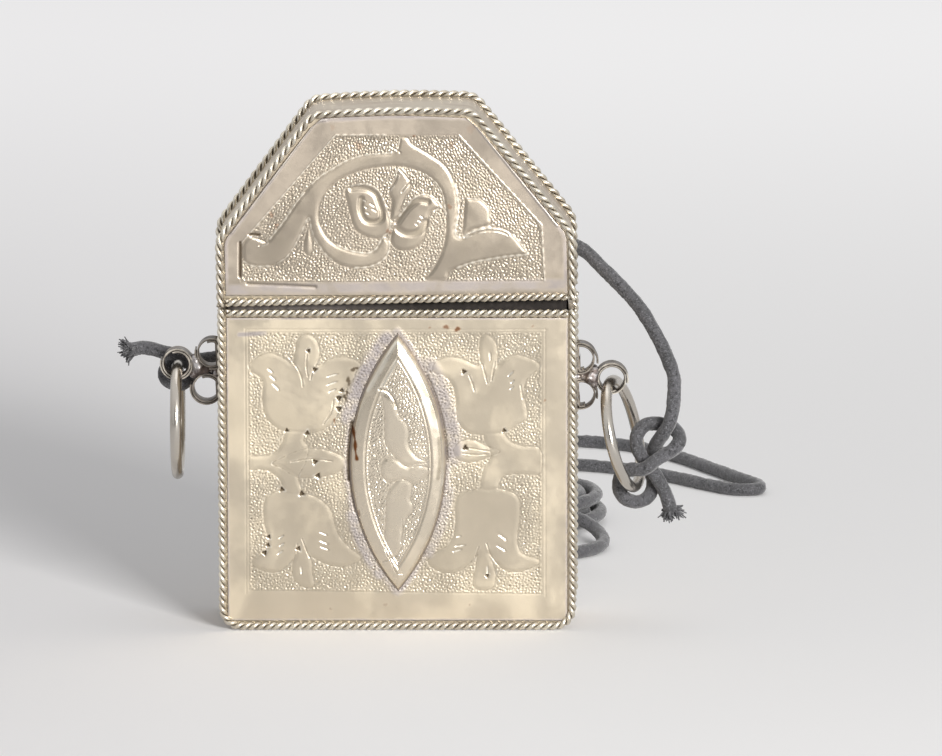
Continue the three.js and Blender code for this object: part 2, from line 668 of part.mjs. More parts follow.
function makeBody(parent) {
  const front = bodyCorners(0);
  const top = BODY_HEIGHT - WIRE_EDGE_PROUD;
  addPart(parent, "body_band", band(front, top), BAND_LOOK);
  addPart(parent, "body_front_wall", wall(front, top, -WALL_FACE), SHEET_LOOK);
  addPart(parent, "body_back_wall", wall(front, top, BAND_DEPTH / 2), SHEET_LOOK);
  addPart(parent, "body_front_panel", bodyPanel(), SHEET_LOOK);
  addPart(parent, "centre_boss", boss(), BOSS_LOOK);
  addPart(parent, "lid_collar", collar(), BAND_LOOK);
  const seam = BODY_HEIGHT - WIRE_EDGE / 2;
  edging(parent, "body_front", front, WIRE_EDGE / 2, -EDGE_Y, seam);
  const back = bodyCorners(BACK_EDGE_OUTSET);
  edging(parent, "body_back", back, WIRE_EDGE / 2, EDGE_Y, seam);
}

function makeLid(parent) {
  const tilted = new THREE.Group();
  tilted.position.set(LID_SHIFT - HALF_WIDTH, 0, BODY_HEIGHT + SEAM_GAP);
  tilted.rotation.y = THREE.MathUtils.degToRad(-LID_TILT_DEG);
  const lid = new THREE.Group();
  lid.position.x = HALF_WIDTH;
  tilted.add(lid);
  parent.add(tilted);
  const corners = lidCorners();
  addPart(lid, "lid_band", band(corners, WIRE_EDGE_PROUD), BAND_LOOK);
  addPart(lid, "lid_front_wall", wall(corners, WIRE_EDGE_PROUD, -WALL_FACE), LID_LOOK);
  addPart(lid, "lid_back_wall", wall(corners, WIRE_EDGE_PROUD, BAND_DEPTH / 2), LID_LOOK);
  addPart(lid, "lid_front_panel", lidPanel(), LID_LOOK);
  const seam = WIRE_EDGE / 2;
  edging(lid, "lid_front", corners, WIRE_EDGE / 2, -EDGE_Y, seam);
  edging(lid, "lid_back", corners, WIRE_EDGE / 2 - BACK_EDGE_OUTSET, EDGE_Y, seam);
}

function makeHangings(parent) {
  rollCluster(parent, "left", ROLLS.left);
  rollCluster(parent, "right", ROLLS.right);
  return {
    left: hangingRing(parent, "left", ROLLS.left, 0, 0),
    right: hangingRing(parent, "right", ROLLS.right, RIGHT_RING_YAW_DEG, RIGHT_RING_TILT_DEG),
  };
}

function makeCord(parent, rings) {
  const rightKnot = rightKnotPoints(rings.right);
  const leftKnot = leftKnotPoints(rings.left);
  const wound = coilPoints();
  addKnot(parent, "right_knot", rightKnot);
  addKnot(parent, "left_knot", leftKnot);
  const intoCoil = leadOn(wound).reverse();
  const right = [...leadOn(rightKnot), ...vectors(RIGHT_ROUTE), ...intoCoil];
  const [rightNeck, farRun] = cutCord(right, RIGHT_NECK_LENGTH);
  addPart(parent, "cord_right_neck", rightNeck, CORD_LOOK);
  addPart(parent, "cord_far_run", farRun, CORD_LOOK);
  addPart(parent, "cord_coil", coil(wound), CORD_LOOK);
  addPart(parent, "coil_tie", coilTie(), TIE_LOOK);
  const outOfCoil = leadOn([wound.at(-1), wound.at(-2)]);
  const left = [...outOfCoil, ...vectors(LEFT_ROUTE), ...leadOn(leftKnot).reverse()];
  const [leftRun, leftNeck] = cutCord(left, -LEFT_NECK_LENGTH);
  addPart(parent, "cord_left_run", leftRun, CORD_LOOK);
  addPart(parent, "cord_left_neck", leftNeck, CORD_LOOK);
}

const box = new THREE.Group();
makeBody(box);
makeLid(box);
makeCord(box, makeHangings(box));

export default box;
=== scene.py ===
"""Quran box pendant: the looks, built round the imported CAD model. Metres, +Z up, -Y is the front.

Lengths in the lists and named values below are millimetres unless their names say otherwise.
"""
import math

import bmesh
import bpy
import numpy as np
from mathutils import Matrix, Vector


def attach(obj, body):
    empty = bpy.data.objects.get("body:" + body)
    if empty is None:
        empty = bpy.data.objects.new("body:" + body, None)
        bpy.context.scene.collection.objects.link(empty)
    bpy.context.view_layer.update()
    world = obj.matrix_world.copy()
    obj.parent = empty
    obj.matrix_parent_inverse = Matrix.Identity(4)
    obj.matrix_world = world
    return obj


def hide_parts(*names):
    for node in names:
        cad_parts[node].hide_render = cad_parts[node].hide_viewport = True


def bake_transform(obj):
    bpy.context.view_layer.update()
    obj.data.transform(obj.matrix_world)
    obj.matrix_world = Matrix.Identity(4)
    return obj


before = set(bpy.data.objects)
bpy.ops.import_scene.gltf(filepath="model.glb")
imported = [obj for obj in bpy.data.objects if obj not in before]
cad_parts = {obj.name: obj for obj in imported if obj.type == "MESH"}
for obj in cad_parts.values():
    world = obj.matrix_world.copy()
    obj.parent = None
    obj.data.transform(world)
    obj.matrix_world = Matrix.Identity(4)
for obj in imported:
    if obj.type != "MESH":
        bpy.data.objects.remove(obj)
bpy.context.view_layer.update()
MM = 0.001
TAU = 2 * math.pi
rng = np.random.default_rng(7)

# Camera: what it looks at from a metre away, its pitch, and its focal length in pixels
CAMERA_TARGET = (10.4, -7.5, 36.25)
CAMERA_PITCH = math.radians(9.85)
FOCAL_PX = 7100
PHOTO_WIDTH_PX = 942
SENSOR_WIDTH = 36

# Case, as in the CAD model
HALF_WIDTH = 25.35
BODY_HEIGHT = 46.1
BODY_CORNER = 3.2
LID_HEIGHT = 28.05
LID_SHOULDER_HEIGHT = 9.8
LID_HALF_TOP = 11.55
LID_CROWN = 0.5
LID_ROUNDS = (4, 3.2, 110)
SEAM_GAP = 0.25
LID_TILT = math.radians(1.1)
LID_SHIFT = -0.05
EDGE_WIRE = 1.16
EDGE_Y = 7.46
BACK_OUTSET = 0.45
PANEL_INSET = 1.31
PANEL_FACE_Y = 7.25
PANEL_BACK_Y = 6.8
PANEL_STEP = 0.11
BOSS_MIDDLE = (0.1, 24.1)
BOSS_LOW, BOSS_HIGH = 5.55, 42.65
BOSS_HALF_WIDTH, BOSS_HALF_HEIGHT = 6.9, 18.6
BOSS_ARC = (BOSS_HALF_WIDTH ** 2 + BOSS_HALF_HEIGHT ** 2) / (2 * BOSS_HALF_WIDTH)

# Twisted wire: the lay of body and seam ropes, that of the cap's edge ropes, one wire's radius
LAY = 2.25
LID_EDGE_LAY = 2.8
ROPE_WIRE = 0.29

# Rings and cord, as in the CAD model
LEFT_RING_PIVOT = (-31.25, 0, 36.7)
RIGHT_RING_PIVOT = (30.3, 0, 34.5)
RING_RADIUS = 7.7
RING_WIRE = 1.6
RIGHT_YAW = math.radians(14)
RIGHT_TILT = math.radians(13.5)
ROLLS = {
    "left": (-1, (26.35, 38.7), (27.05, 33.65), (31.25, 37.2)),
    "right": (1, (25.85, 37.9), (26.0, 32.8), (30.3, 35.0)),
}
ROLL_OUTER, ROLL_PITCH, ROLL_STRIP, ROLL_WIDTH = 2.45, 0.34, 0.27, 2.8
ROLL_TURNS, ROLL_STEPS = 1.85, 60
ROLL_START = math.pi * 0.62
ROLL_SEAT = 25.0
NO_SEAT = 99
CORD = 2.0
COIL_CENTRE = (17.5, 73.5)
COIL_RADIUS = 13.9
COIL_PITCH = 2.5
COIL_FLOOR = 0.65
COIL_TURNS = 5.25
COIL_IN_TURNS = 2.375
TIE_PLACE_DEG = 100
TIE_TURN = 4 + (TIE_PLACE_DEG + 180) / 360
TIE_THREAD = 0.27
TIE_WINDINGS = 4
RIGHT_KNOT = [
    (5.3, -0.7, 11.8), (5.1, -1.3, 10.7), (4.7, -1.8, 9.3), (3.9, -1.5, 7.9), (3.1, -0.2, 6.4),
    (2.6, 1.3, 4.9), (2.4, 2.2, 3.3), (2.4, 2.2, 1.8), (2.6, 1.7, 0.5), (2.4, 1, -0.7),
    (1.6, 0.5, -1.9), (0, 0.1, -2.3), (-1.6, -0.4, -1.6), (-2.4, -0.8, 0.1), (-2, -1.3, 1.9),
    (-0.6, -2.1, 2.8), (0.8, -2.8, 2.9), (1.7, -3.1, 3.4), (2.6, -2.9, 4.1), (3.8, -2.4, 4.8),
    (5.2, -1.8, 5.5), (6.1, -1.2, 6.5), (6.1, -0.3, 7.5), (5.3, 0.5, 8.3), (4.1, 0.9, 8.7),
    (2.9, 0.8, 8.9), (1.6, 0.6, 8.8), (0.6, 0.3, 8), (0.1, 0, 6.9), (0.2, -0.3, 5.7),
    (0.9, -0.5, 4.3), (1.8, -0.6, 3.1), (2.8, -0.8, 1.7), (3.8, -0.8, 0), (4.5, -0.5, -1.7),
    (5, -0.3, -3.5),
]
RIGHT_ROUTE = [
    (39.2, 0.9, 34.9), (38.1, 2.8, 37.9), (36.4, 4.6, 41.1), (34.4, 6.2, 44.1), (31.7, 7.7, 47),
    (29, 8.9, 49.5), (26.6, 9.8, 51.7), (22.6, 10.3, 53.3), (18.2, 10.7, 53.6), (14, 11.3, 52.2),
    (9.6, 12.4, 49), (5.4, 14.1, 44.2), (1.2, 16.6, 37.6), (-2.6, 19.8, 29.6), (-6, 23.8, 20.8),
    (-9, 28.6, 12.4), (-11.4, 34.6, 5.6), (-13.2, 42, 1.8), (-14.4, 51, 1), (-15, 62, 1),
    (-15, 76, 1), (-14, 92, 1), (-11, 108, 1), (-5, 121.5, 1), (4, 131, 1), (15, 135.6, 1),
    (27.7, 136, 1), (36.3, 131.5, 1), (43.6, 121.8, 1), (49.2, 110.5, 1), (53.4, 101.8, 1),
    (55.4, 97.6, 1), (55, 94.4, 1), (51.9, 94, 1), (47.8, 97.7, 1), (43, 103.6, 1),
    (36, 110.4, 1), (27.4, 115, 1), (17, 115.6, 1), (8.6, 110, 1), (4, 101, 1), (3, 91, 1.2),
]
LEFT_ROUTE = [
    (25, 59.1, 3.7), (28.6, 56.6, 2.5), (30.2, 52.4, 1.3), (29.2, 47.6, 1), (25.2, 43.2, 1),
    (19, 39.4, 1), (12, 35.4, 1), (5, 30.6, 1.3), (-1, 25.4, 4.4), (-6, 20.6, 10.6),
    (-10.4, 16.4, 18.6), (-14.4, 13.2, 26.4), (-18.2, 11.1, 32.4), (-21.6, 10, 35.6),
]

# Stage and lamps: azimuth and elevation in degrees, distance in metres, power in watts
KEY_PLACE = (25, 17, 1.17)
KEY_POWER = 16
KEY_SIZE = (0.34, 0.34)
TOP_PLACE = (150, 78, 0.9)
TOP_POWER = 0.95
TOP_SIZE = (0.8, 0.5)
TENT_LIGHT = 0.35
TENT_GLOW = 0.95
FLOOR_GLOW_NEAR = 0.05
FLOOR_GLOW_FAR = 0.44
FLOOR_HALF = 3


# ---------------------------------------------------------------- camera
def make_camera():
    camera = bpy.data.objects.new("camera", bpy.data.cameras.new("camera"))
    camera.data.sensor_width = SENSOR_WIDTH
    camera.data.lens = FOCAL_PX * SENSOR_WIDTH / PHOTO_WIDTH_PX
    camera.data.clip_end = 20
    back = Vector((0, -math.cos(CAMERA_PITCH), math.sin(CAMERA_PITCH)))
    camera.location = Vector(CAMERA_TARGET) * MM + back
    camera.rotation_euler = (math.pi / 2 - CAMERA_PITCH, 0, 0)
    bpy.context.scene.collection.objects.link(camera)
    bpy.context.scene.camera = camera
    bpy.context.scene.view_settings.view_transform = "Standard"


# ---------------------------------------------------------------- meshes
def new_object(name, verts, faces, material=None, smooth=True, scale=MM):
    mesh = bpy.data.meshes.new(name)
    mesh.from_pydata([tuple(p) for p in np.asarray(verts, float) * scale], [], faces)
    mesh.validate()
    mesh.polygons.foreach_set("use_smooth", [smooth] * len(mesh.polygons))
    obj = bpy.data.objects.new(name, mesh)
    bpy.context.scene.collection.objects.link(obj)
    if material:
        mesh.materials.append(material)
    return obj


def join(parts):
    """Several (verts, faces) as one (verts, faces)."""
    verts, faces, base = [], [], 0
    for part_verts, part_faces in parts:
        verts.append(np.asarray(part_verts, float))
        faces.append(np.asarray(part_faces) + base)
        base += len(part_verts)
    return np.vstack(verts), np.vstack(faces)


def attribute(obj, name, values):
    obj.data.attributes.new(name, "FLOAT", "POINT").data.foreach_set(
        "value", np.asarray(values, np.float32).ravel())


def frames_along(path, closed=False):
    """Tangents and two normals along a line, turning as little as they can."""
    ahead = np.roll(path, -1, 0) - np.roll(path, 1, 0)
    if not closed:
        ahead[0], ahead[-1] = path[1] - path[0], path[-1] - path[-2]
    tangents = ahead / np.linalg.norm(ahead, axis=1)[:, None]
    seed = np.array([0, 0, 1.0]) if abs(tangents[0][2]) < 0.9 else np.array([0, 1.0, 0])
    normals = np.zeros_like(path)
    current = seed
    for i, tangent in enumerate(tangents):
        current = current - tangent * (current @ tangent)
        current = current / np.linalg.norm(current)
        normals[i] = current
    return tangents, normals, np.cross(tangents, normals)


def tube(path, normals, binormals, radius, sides):
    """Rings of points round a line; the radius is one number, or one for each ring or point."""
    around = np.arange(sides) * TAU / sides
    return (path[:, None, :] + (radius * np.cos(around))[..., None] * normals[:, None, :]
            + (radius * np.sin(around))[..., None] * binormals[:, None, :])


def skin(rings, closed=False):
    """Quads through rings of points (count, sides, 3). The caps of an open skin are fans round
    a middle point, written as quads whose last two corners are the same."""
    count, sides = rings.shape[:2]
    verts = rings.reshape(-1, 3)
    k = np.arange(count if closed else count - 1)[:, None] * sides
    j = np.arange(sides)[None, :]
    nxt = (j + 1) % sides
    up = (k + sides) % (count * sides)
    faces = np.stack([k + j, k + nxt, up + nxt, up + j], axis=-1).reshape(-1, 4)
    if closed:
        return verts, faces
    middle = np.vstack([verts, rings[0].mean(0), rings[-1].mean(0)])
    first, last = count * sides, count * sides + 1
    base = (count - 1) * sides
    j = np.arange(sides)
    nxt = (j + 1) % sides
    start = np.stack([np.full(sides, first), nxt, j, j], axis=-1)
    end = np.stack([np.full(sides, last), base + j, base + nxt, base + nxt], axis=-1)
    return middle, np.vstack([faces, start, end])


def mesh_object(name, part, material, smooth=True):
    verts, faces = part
    faces = [tuple(f) if f[2] != f[3] else tuple(f[:3]) for f in faces.tolist()]
    return new_object(name, verts, faces, material, smooth)


# ---------------------------------------------------------------- lines
def catmull(points, step):
    """A centripetal curve through points, sampled about every step."""
    p = np.asarray(points, float)
    p = np.vstack([2 * p[0] - p[1], p, 2 * p[-1] - p[-2]])
    out = []
    for i in range(1, len(p) - 2):
        a, b, c, d = p[i - 1:i + 3]
        t = np.cumsum([0] + [max(np.linalg.norm(v), 1e-6) ** 0.5 for v in (b - a, c - b, d - c)])
        count = max(2, int(np.ceil(np.linalg.norm(c - b) / step)))
        s = np.linspace(t[1], t[2], count, endpoint=False)[:, None]
        a1 = (t[1] - s) / (t[1] - t[0]) * a + (s - t[0]) / (t[1] - t[0]) * b
        a2 = (t[2] - s) / (t[2] - t[1]) * b + (s - t[1]) / (t[2] - t[1]) * c
        a3 = (t[3] - s) / (t[3] - t[2]) * c + (s - t[2]) / (t[3] - t[2]) * d
        b1 = (t[2] - s) / (t[2] - t[0]) * a1 + (s - t[0]) / (t[2] - t[0]) * a2
        b2 = (t[3] - s) / (t[3] - t[1]) * a2 + (s - t[1]) / (t[3] - t[1]) * a3
        out.append((t[2] - s) / (t[2] - t[1]) * b1 + (s - t[1]) / (t[2] - t[1]) * b2)
    return np.vstack(out + [p[-2][None]])


def even(path, step):
    """The line sampled at even distances, and its length."""
    gaps = np.linalg.norm(np.diff(path, axis=0), axis=1)
    along = np.concatenate([[0], np.cumsum(gaps)])
    count = max(2, int(round(along[-1] / step)))
    at = np.linspace(0, along[-1], count + 1)
    return np.stack([np.interp(at, along, path[:, k]) for k in range(path.shape[1])], 1), along[-1]


def body_corners(grow=0.0):
    half = HALF_WIDTH + grow
    return [(half, BODY_HEIGHT, 0), (half, 0, BODY_CORNER), (-half, 0, BODY_CORNER),
            (-half, BODY_HEIGHT, 0)]


def lid_corners():
    shoulder, top, crown = LID_ROUNDS
    low, high = LID_SHOULDER_HEIGHT, LID_HEIGHT - LID_CROWN
    return [(-HALF_WIDTH, 0, 0), (-HALF_WIDTH, low, shoulder), (-LID_HALF_TOP, high, top),
            (0, LID_HEIGHT, crown), (LID_HALF_TOP, high, top), (HALF_WIDTH, low, shoulder),
            (HALF_WIDTH, 0, 0)]


def moved_in(corners, distance, end_height):
    """The outline moved inwards, its two ends cut at a height."""
    lines = []
    for (x0, z0, _), (x1, z1, _) in zip(corners, corners[1:]):
        length = math.hypot(x1 - x0, z1 - z0)
        normal = ((z1 - z0) / length, -(x1 - x0) / length)
        lines.append((normal, x0 * normal[0] + z0 * normal[1] + distance))
    out = []
    for i, (x, z, r) in enumerate(corners):
        if i in (0, len(corners) - 1):
            normal, reach = lines[min(i, len(lines) - 1)]
            out.append((reach / normal[0], end_height, 0))
            continue
        (a, ra), (b, rb) = lines[i - 1], lines[i]
        det = a[0] * b[1] - a[1] * b[0]
        out.append(((ra * b[1] - rb * a[1]) / det, (rb * a[0] - ra * b[0]) / det,
                    max(r - distance, 0.3)))
    return out


def rounded(corners, chord_deg=6):
    """The outline's points, with an arc at each corner."""
    points = []
    for i, (x, z, r) in enumerate(corners):
        here = np.array([x, z], float)
        if i in (0, len(corners) - 1) or r == 0:
            points.append(here)
            continue
        before = np.array(corners[i - 1][:2]) - here
        after = np.array(corners[i + 1][:2]) - here
        before, after = before / np.linalg.norm(before), after / np.linalg.norm(after)
        turn = math.pi - math.acos(np.clip(before @ after, -1, 1))
        reach = r * math.tan(turn / 2)
        middle = (before + after) / np.linalg.norm(before + after)
        centre = here + middle * math.hypot(reach, r)
        start = here + before * reach - centre
        steps = max(2, math.ceil(turn / math.radians(chord_deg)))
        way = np.sign(before[1] * after[0] - before[0] * after[1])
        for k in range(steps + 1):
            a = way * turn * k / steps
            points.append(centre + np.array([start[0] * math.cos(a) - start[1] * math.sin(a),
                                             start[0] * math.sin(a) + start[1] * math.cos(a)]))
    return np.array(points)


def lid_place(points):
    """Points (x, y, z) of the cap's own frame, put where the cap sits."""
    p = np.array(points, float)
    x, z = p[:, 0] + HALF_WIDTH, p[:, 2].copy()
    p[:, 0] = LID_SHIFT - HALF_WIDTH + x * math.cos(LID_TILT) - z * math.sin(LID_TILT)
    p[:, 2] = BODY_HEIGHT + SEAM_GAP + x * math.sin(LID_TILT) + z * math.cos(LID_TILT)
    return p


# ---------------------------------------------------------------- materials
class Nodes:
    """A material's or the world's node tree, with short ways to add to it."""

    def __init__(self, name, world=None):
        self.material = world or bpy.data.materials.new(name)
        self.material.use_nodes = True
        self.tree = self.material.node_tree
        self.shader = self.tree.nodes.get("Principled BSDF")

    def add(self, kind, inputs=None, **settings):
        node = self.tree.nodes.new(kind)
        for key, value in settings.items():
            setattr(node, key, value)
        for key, value in (inputs or {}).items():
            self.put(node.inputs[key], value)
        return node

    def put(self, socket, value):
        if isinstance(value, bpy.types.NodeSocket):
            self.tree.links.new(value, socket)
        else:
            socket.default_value = value

    def noise(self, scale, detail=3, rough=0.5, distortion=0.0, stretch=None):
        place = self.add("ShaderNodeTexCoord").outputs["Object"]
        if stretch:
            place = self.add("ShaderNodeMapping", {"Vector": place, "Scale": stretch}
                             ).outputs["Vector"]
        return self.add("ShaderNodeTexNoise", {"Vector": place, "Scale": scale, "Detail": detail,
                                               "Roughness": rough, "Distortion": distortion}
                        ).outputs["Fac"]

    def attribute(self, name):
        return self.add("ShaderNodeAttribute", attribute_name=name).outputs["Fac"]

    def math(self, operation, a, b=0.0, clamp=False):
        return self.add("ShaderNodeMath", {0: a, 1: b}, operation=operation, use_clamp=clamp
                        ).outputs[0]

    def ramp(self, value, low, high, out_low=0.0, out_high=1.0):
        return self.add("ShaderNodeMapRange", {"Value": value, "From Min": low, "From Max": high,
                                               "To Min": out_low, "To Max": out_high},
                        interpolation_type="SMOOTHSTEP").outputs["Result"]

    def mix(self, share, a, b):
        node = self.add("ShaderNodeMix", data_type="RGBA")
        self.put(node.inputs["Factor"], share)
        for socket, value in ((node.inputs[6], a), (node.inputs[7], b)):
            self.put(socket, value if isinstance(value, bpy.types.NodeSocket) else (*value, 1))
        return node.outputs[2]

    def bump(self, height, strength, distance_mm, before=None):
        inputs = {"Height": height, "Strength": strength, "Distance": distance_mm * MM}
        if before is not None:
            inputs["Normal"] = before
        return self.add("ShaderNodeBump", inputs).outputs["Normal"]

    def finish(self, **sockets):
        for name, value in sockets.items():
            value = (*value, 1) if name == "Base_Color" and isinstance(value, tuple) else value
            self.put(self.shader.inputs[name.replace("_", " ")], value)
        return self.material


def silver(name, colour, tarnish, rough=(0.3, 0.48), patches=0.35, scratch=0.25, masks=False):
    """Nickel silver with wear: a base colour, tarnish in patches, fine scratches and pits. With
    masks it also reads the painted shade, painted highlights, patina, dirt with painted shade,
    and stain that the sheet's points carry."""
    n = Nodes(name)
    broad = n.ramp(n.noise(90, 4, 0.55, 0.6), 0.38, 0.72)
    fine = n.noise(900, 4, 0.6)
    lines = n.noise(700, 3, 0.6, 0.4, stretch=(1, 1, 0.12))
    colour_out = n.mix(n.math("MULTIPLY", broad, patches), colour, tarnish)
    roughness = n.ramp(n.math("ADD", n.math("MULTIPLY", broad, 0.5),
                              n.math("MULTIPLY", fine, 0.5)), 0.15, 0.85, *rough)
    if masks:
        dirt_and_shade = n.attribute("dirt_and_shade")
        patina = n.math("MULTIPLY", n.attribute("patina"),
                        n.ramp(n.noise(420, 4, 0.6), 0.3, 0.6, 0.45, 1))
        stain = n.attribute("stain")
        shade, bright = n.attribute("shade"), n.attribute("bright")
        shade_breakup = n.ramp(n.noise(260, 4, 0.6, 0.5), 0.25, 0.7, 0.55, 1)
        # painted shade, broken up by noise
        colour_out = n.mix(n.math("MULTIPLY", shade, shade_breakup), colour_out, (0.36, 0.31, 0.235))
        # painted highlights
        colour_out = n.mix(bright, colour_out, (0.86, 0.8, 0.69))
        colour_out = n.mix(n.math("MULTIPLY", patina, 0.9), colour_out, (0.36, 0.33, 0.335))
        # dark dirt mixed with painted shade in cuts, holes, notches and hollows
        colour_out = n.mix(n.math("MULTIPLY", dirt_and_shade, 0.92), colour_out, (0.09, 0.065, 0.04))
        colour_out = n.mix(stain, colour_out, (0.16, 0.06, 0.02))
        dull = n.math("MAXIMUM", n.math("MAXIMUM", patina, dirt_and_shade), stain)
        roughness = n.math("ADD", roughness, n.math("MULTIPLY", dull, 0.3), clamp=True)
    normal = n.bump(fine, 0.25, 0.02)
    normal = n.bump(lines, scratch, 0.015, normal)
    return n.finish(Base_Color=colour_out, Roughness=roughness, Metallic=1.0, Normal=normal)


def wire_silver():
    """Twisted wire: bright crests, each wire darker and rougher on its inner side towards the
    grooves, from the mesh's own groove mask.
    """
    n = Nodes("twisted_wire")
    groove = n.attribute("groove")
    patches = n.ramp(n.noise(160, 3, 0.55, 0.4), 0.35, 0.7)
    colour = n.mix(n.math("MULTIPLY", patches, 0.6), (0.74, 0.69, 0.59), (0.48, 0.42, 0.34))
    colour = n.mix(n.ramp(groove, 0.3, 1), colour, (0.13, 0.1, 0.07))
    rough = n.ramp(groove, 0.2, 0.9, 0.36, 0.7)
    normal = n.bump(n.noise(1100, 3, 0.6), 0.2, 0.015)
    return n.finish(Base_Color=colour, Roughness=rough, Metallic=1.0, Normal=normal)


def rolled_silver():
    """Tarnished rolled strip: dark brown-grey faces, and lips that are rubbed bright."""
    n = Nodes("rolled_strip")
    lip = n.math("MULTIPLY", n.attribute("lip"), n.ramp(n.noise(500, 4, 0.6), 0.3, 0.6, 0.35, 1))
    patches = n.ramp(n.noise(260, 4, 0.6, 0.5), 0.35, 0.65)
    colour = n.mix(patches, (0.27, 0.235, 0.205), (0.075, 0.06, 0.05))
    colour = n.mix(lip, colour, (0.78, 0.73, 0.64))
    rough = n.ramp(n.noise(700, 3, 0.6), 0.3, 0.7, 0.28, 0.5)
    normal = n.bump(n.noise(900, 4, 0.6), 0.35, 0.03)
    return n.finish(Base_Color=colour, Roughness=rough, Metallic=1.0, Normal=normal)


def solder_look():
    """Crusty solder: pale grey skin with brown hollows and small black holes."""
    n = Nodes("solder")
    crust = n.noise(650, 5, 0.65, 0.6)
    colour = n.mix(n.ramp(crust, 0.42, 0.6), (0.16, 0.13, 0.12), (0.5, 0.48, 0.48))
    colour = n.mix(n.ramp(n.noise(480, 4, 0.6, 0.8), 0.6, 0.68), colour, (0.03, 0.024, 0.02))
    normal = n.bump(crust, 0.8, 0.12)
    return n.finish(Base_Color=colour, Roughness=n.ramp(crust, 0.35, 0.65, 0.65, 0.35),
                    Metallic=0.9, Normal=normal)


def collar_look():
    """The collar in the seam: grey with solder at the left, going black at the right, a painted
    shade for the deep, shadowed gap.
    """
    n = Nodes("collar_strip")
    place = n.add("ShaderNodeTexCoord").outputs["Object"]
    across = n.add("ShaderNodeSeparateXYZ", {"Vector": place}).outputs["X"]
    share = n.ramp(n.math("ADD", across, n.math("MULTIPLY", n.noise(180, 4, 0.6), 0.012)),
                   -0.014, 0.012)
    # painted shade: black towards the right of the seam
    colour = n.mix(share, (0.17, 0.15, 0.14), (0.03, 0.025, 0.022))
    colour = n.mix(n.ramp(n.noise(900, 4, 0.6), 0.5, 0.75), colour, (0.06, 0.05, 0.045))
    normal = n.bump(n.noise(800, 4, 0.6), 0.4, 0.04)
    return n.finish(Base_Color=colour, Roughness=n.ramp(share, 0, 1, 0.5, 0.8), Metallic=0.4,
                    Normal=normal)


def waxed_cord(name, light=0.06):
    """Waxed cotton: grey fibres that run aslant, dark hollows between them and pale fluff."""
    n = Nodes(name)
    fibre = n.noise(4300, 4, 0.7, 0.6)
    hollow = n.noise(2100, 4, 0.65, 0.8)
    mottle = n.ramp(n.noise(300, 3, 0.6), 0.3, 0.7)
    colour = n.mix(mottle, (light * 0.75, light * 0.74, light * 0.8),
                   (light * 1.5, light * 1.47, light * 1.6))
    colour = n.mix(n.ramp(hollow, 0.5, 0.36), colour, (light * 0.2, light * 0.2, light * 0.22))
    colour = n.mix(n.ramp(fibre, 0.52, 0.68, 0, 0.75), colour,
                   (light * 4, light * 4, light * 4.3))
    normal = n.bump(fibre, 0.9, 0.08)
    normal = n.bump(hollow, 0.7, 0.12, normal)
    return n.finish(Base_Color=colour, Roughness=n.ramp(mottle, 0, 1, 0.6, 0.85), Normal=normal,
                    **{"Sheen_Weight": 0.35})


# ---------------------------------------------------------------- relief
def closed_curve(points, step=0.12):
    p = np.asarray(points, float)
    ring = np.vstack([p[-2:], p, p[:3]])
    curve = catmull(ring, step)
    start = np.argmin(np.linalg.norm(curve - p[0], axis=1)[: len(curve) // 2])
    end = len(curve) // 2 + np.argmin(np.linalg.norm(curve - p[0], axis=1)[len(curve) // 2:])
    return curve[start:end]


def line_place(x, z, line, width):
    """The distance from each point to an open line, up to width, and the place along it."""
    out, along = np.full(x.shape, float(width)), np.zeros(x.shape)
    start = 0.0
    for a, b in zip(line[:-1], line[1:]):
        d = b - a
        length = math.hypot(*d)
        low, high = np.minimum(a, b) - width, np.maximum(a, b) + width
        rows = np.flatnonzero((z.max(1) > low[1]) & (z.min(1) < high[1]))
        if len(rows) and length > 0:
            part = slice(rows[0], rows[-1] + 1)
            xs, zs, best, place = x[part], z[part], out[part], along[part]
            near = (xs > low[0]) & (xs < high[0]) & (zs > low[1]) & (zs < high[1])
            px, pz = xs[near] - a[0], zs[near] - a[1]
            t = np.clip((px * d[0] + pz * d[1]) / (length * length), 0, 1)
            gap = np.hypot(px - t * d[0], pz - t * d[1])
            closer = gap < best[near]
            best[near] = np.where(closer, gap, best[near])
            place[near] = np.where(closer, start + t * length, place[near])
        start += length
    return out, along


def line_distance(x, z, line, width):
    return line_place(x, z, line, width)[0]


def inside(x, z, ring):
    """Whether each point is inside a closed line."""
    low, high = ring.min(0), ring.max(0)
    near = (x > low[0]) & (x < high[0]) & (z > low[1]) & (z < high[1])
    px, pz = x[near], z[near]
    odd = np.zeros(px.shape, bool)
    for a, b in zip(ring, np.roll(ring, -1, 0)):
        crosses = (a[1] > pz) != (b[1] > pz)
        if crosses.any():
            at = a[0] + (pz - a[1]) * (b[0] - a[0]) / (b[1] - a[1] if b[1] != a[1] else 1e-9)
            odd ^= crosses & (px < at)
    out = np.zeros(x.shape, bool)
    out[near] = odd
    return out


def smooth(t):
    t = np.clip(t, 0, 1)
    return t * t * (3 - 2 * t)


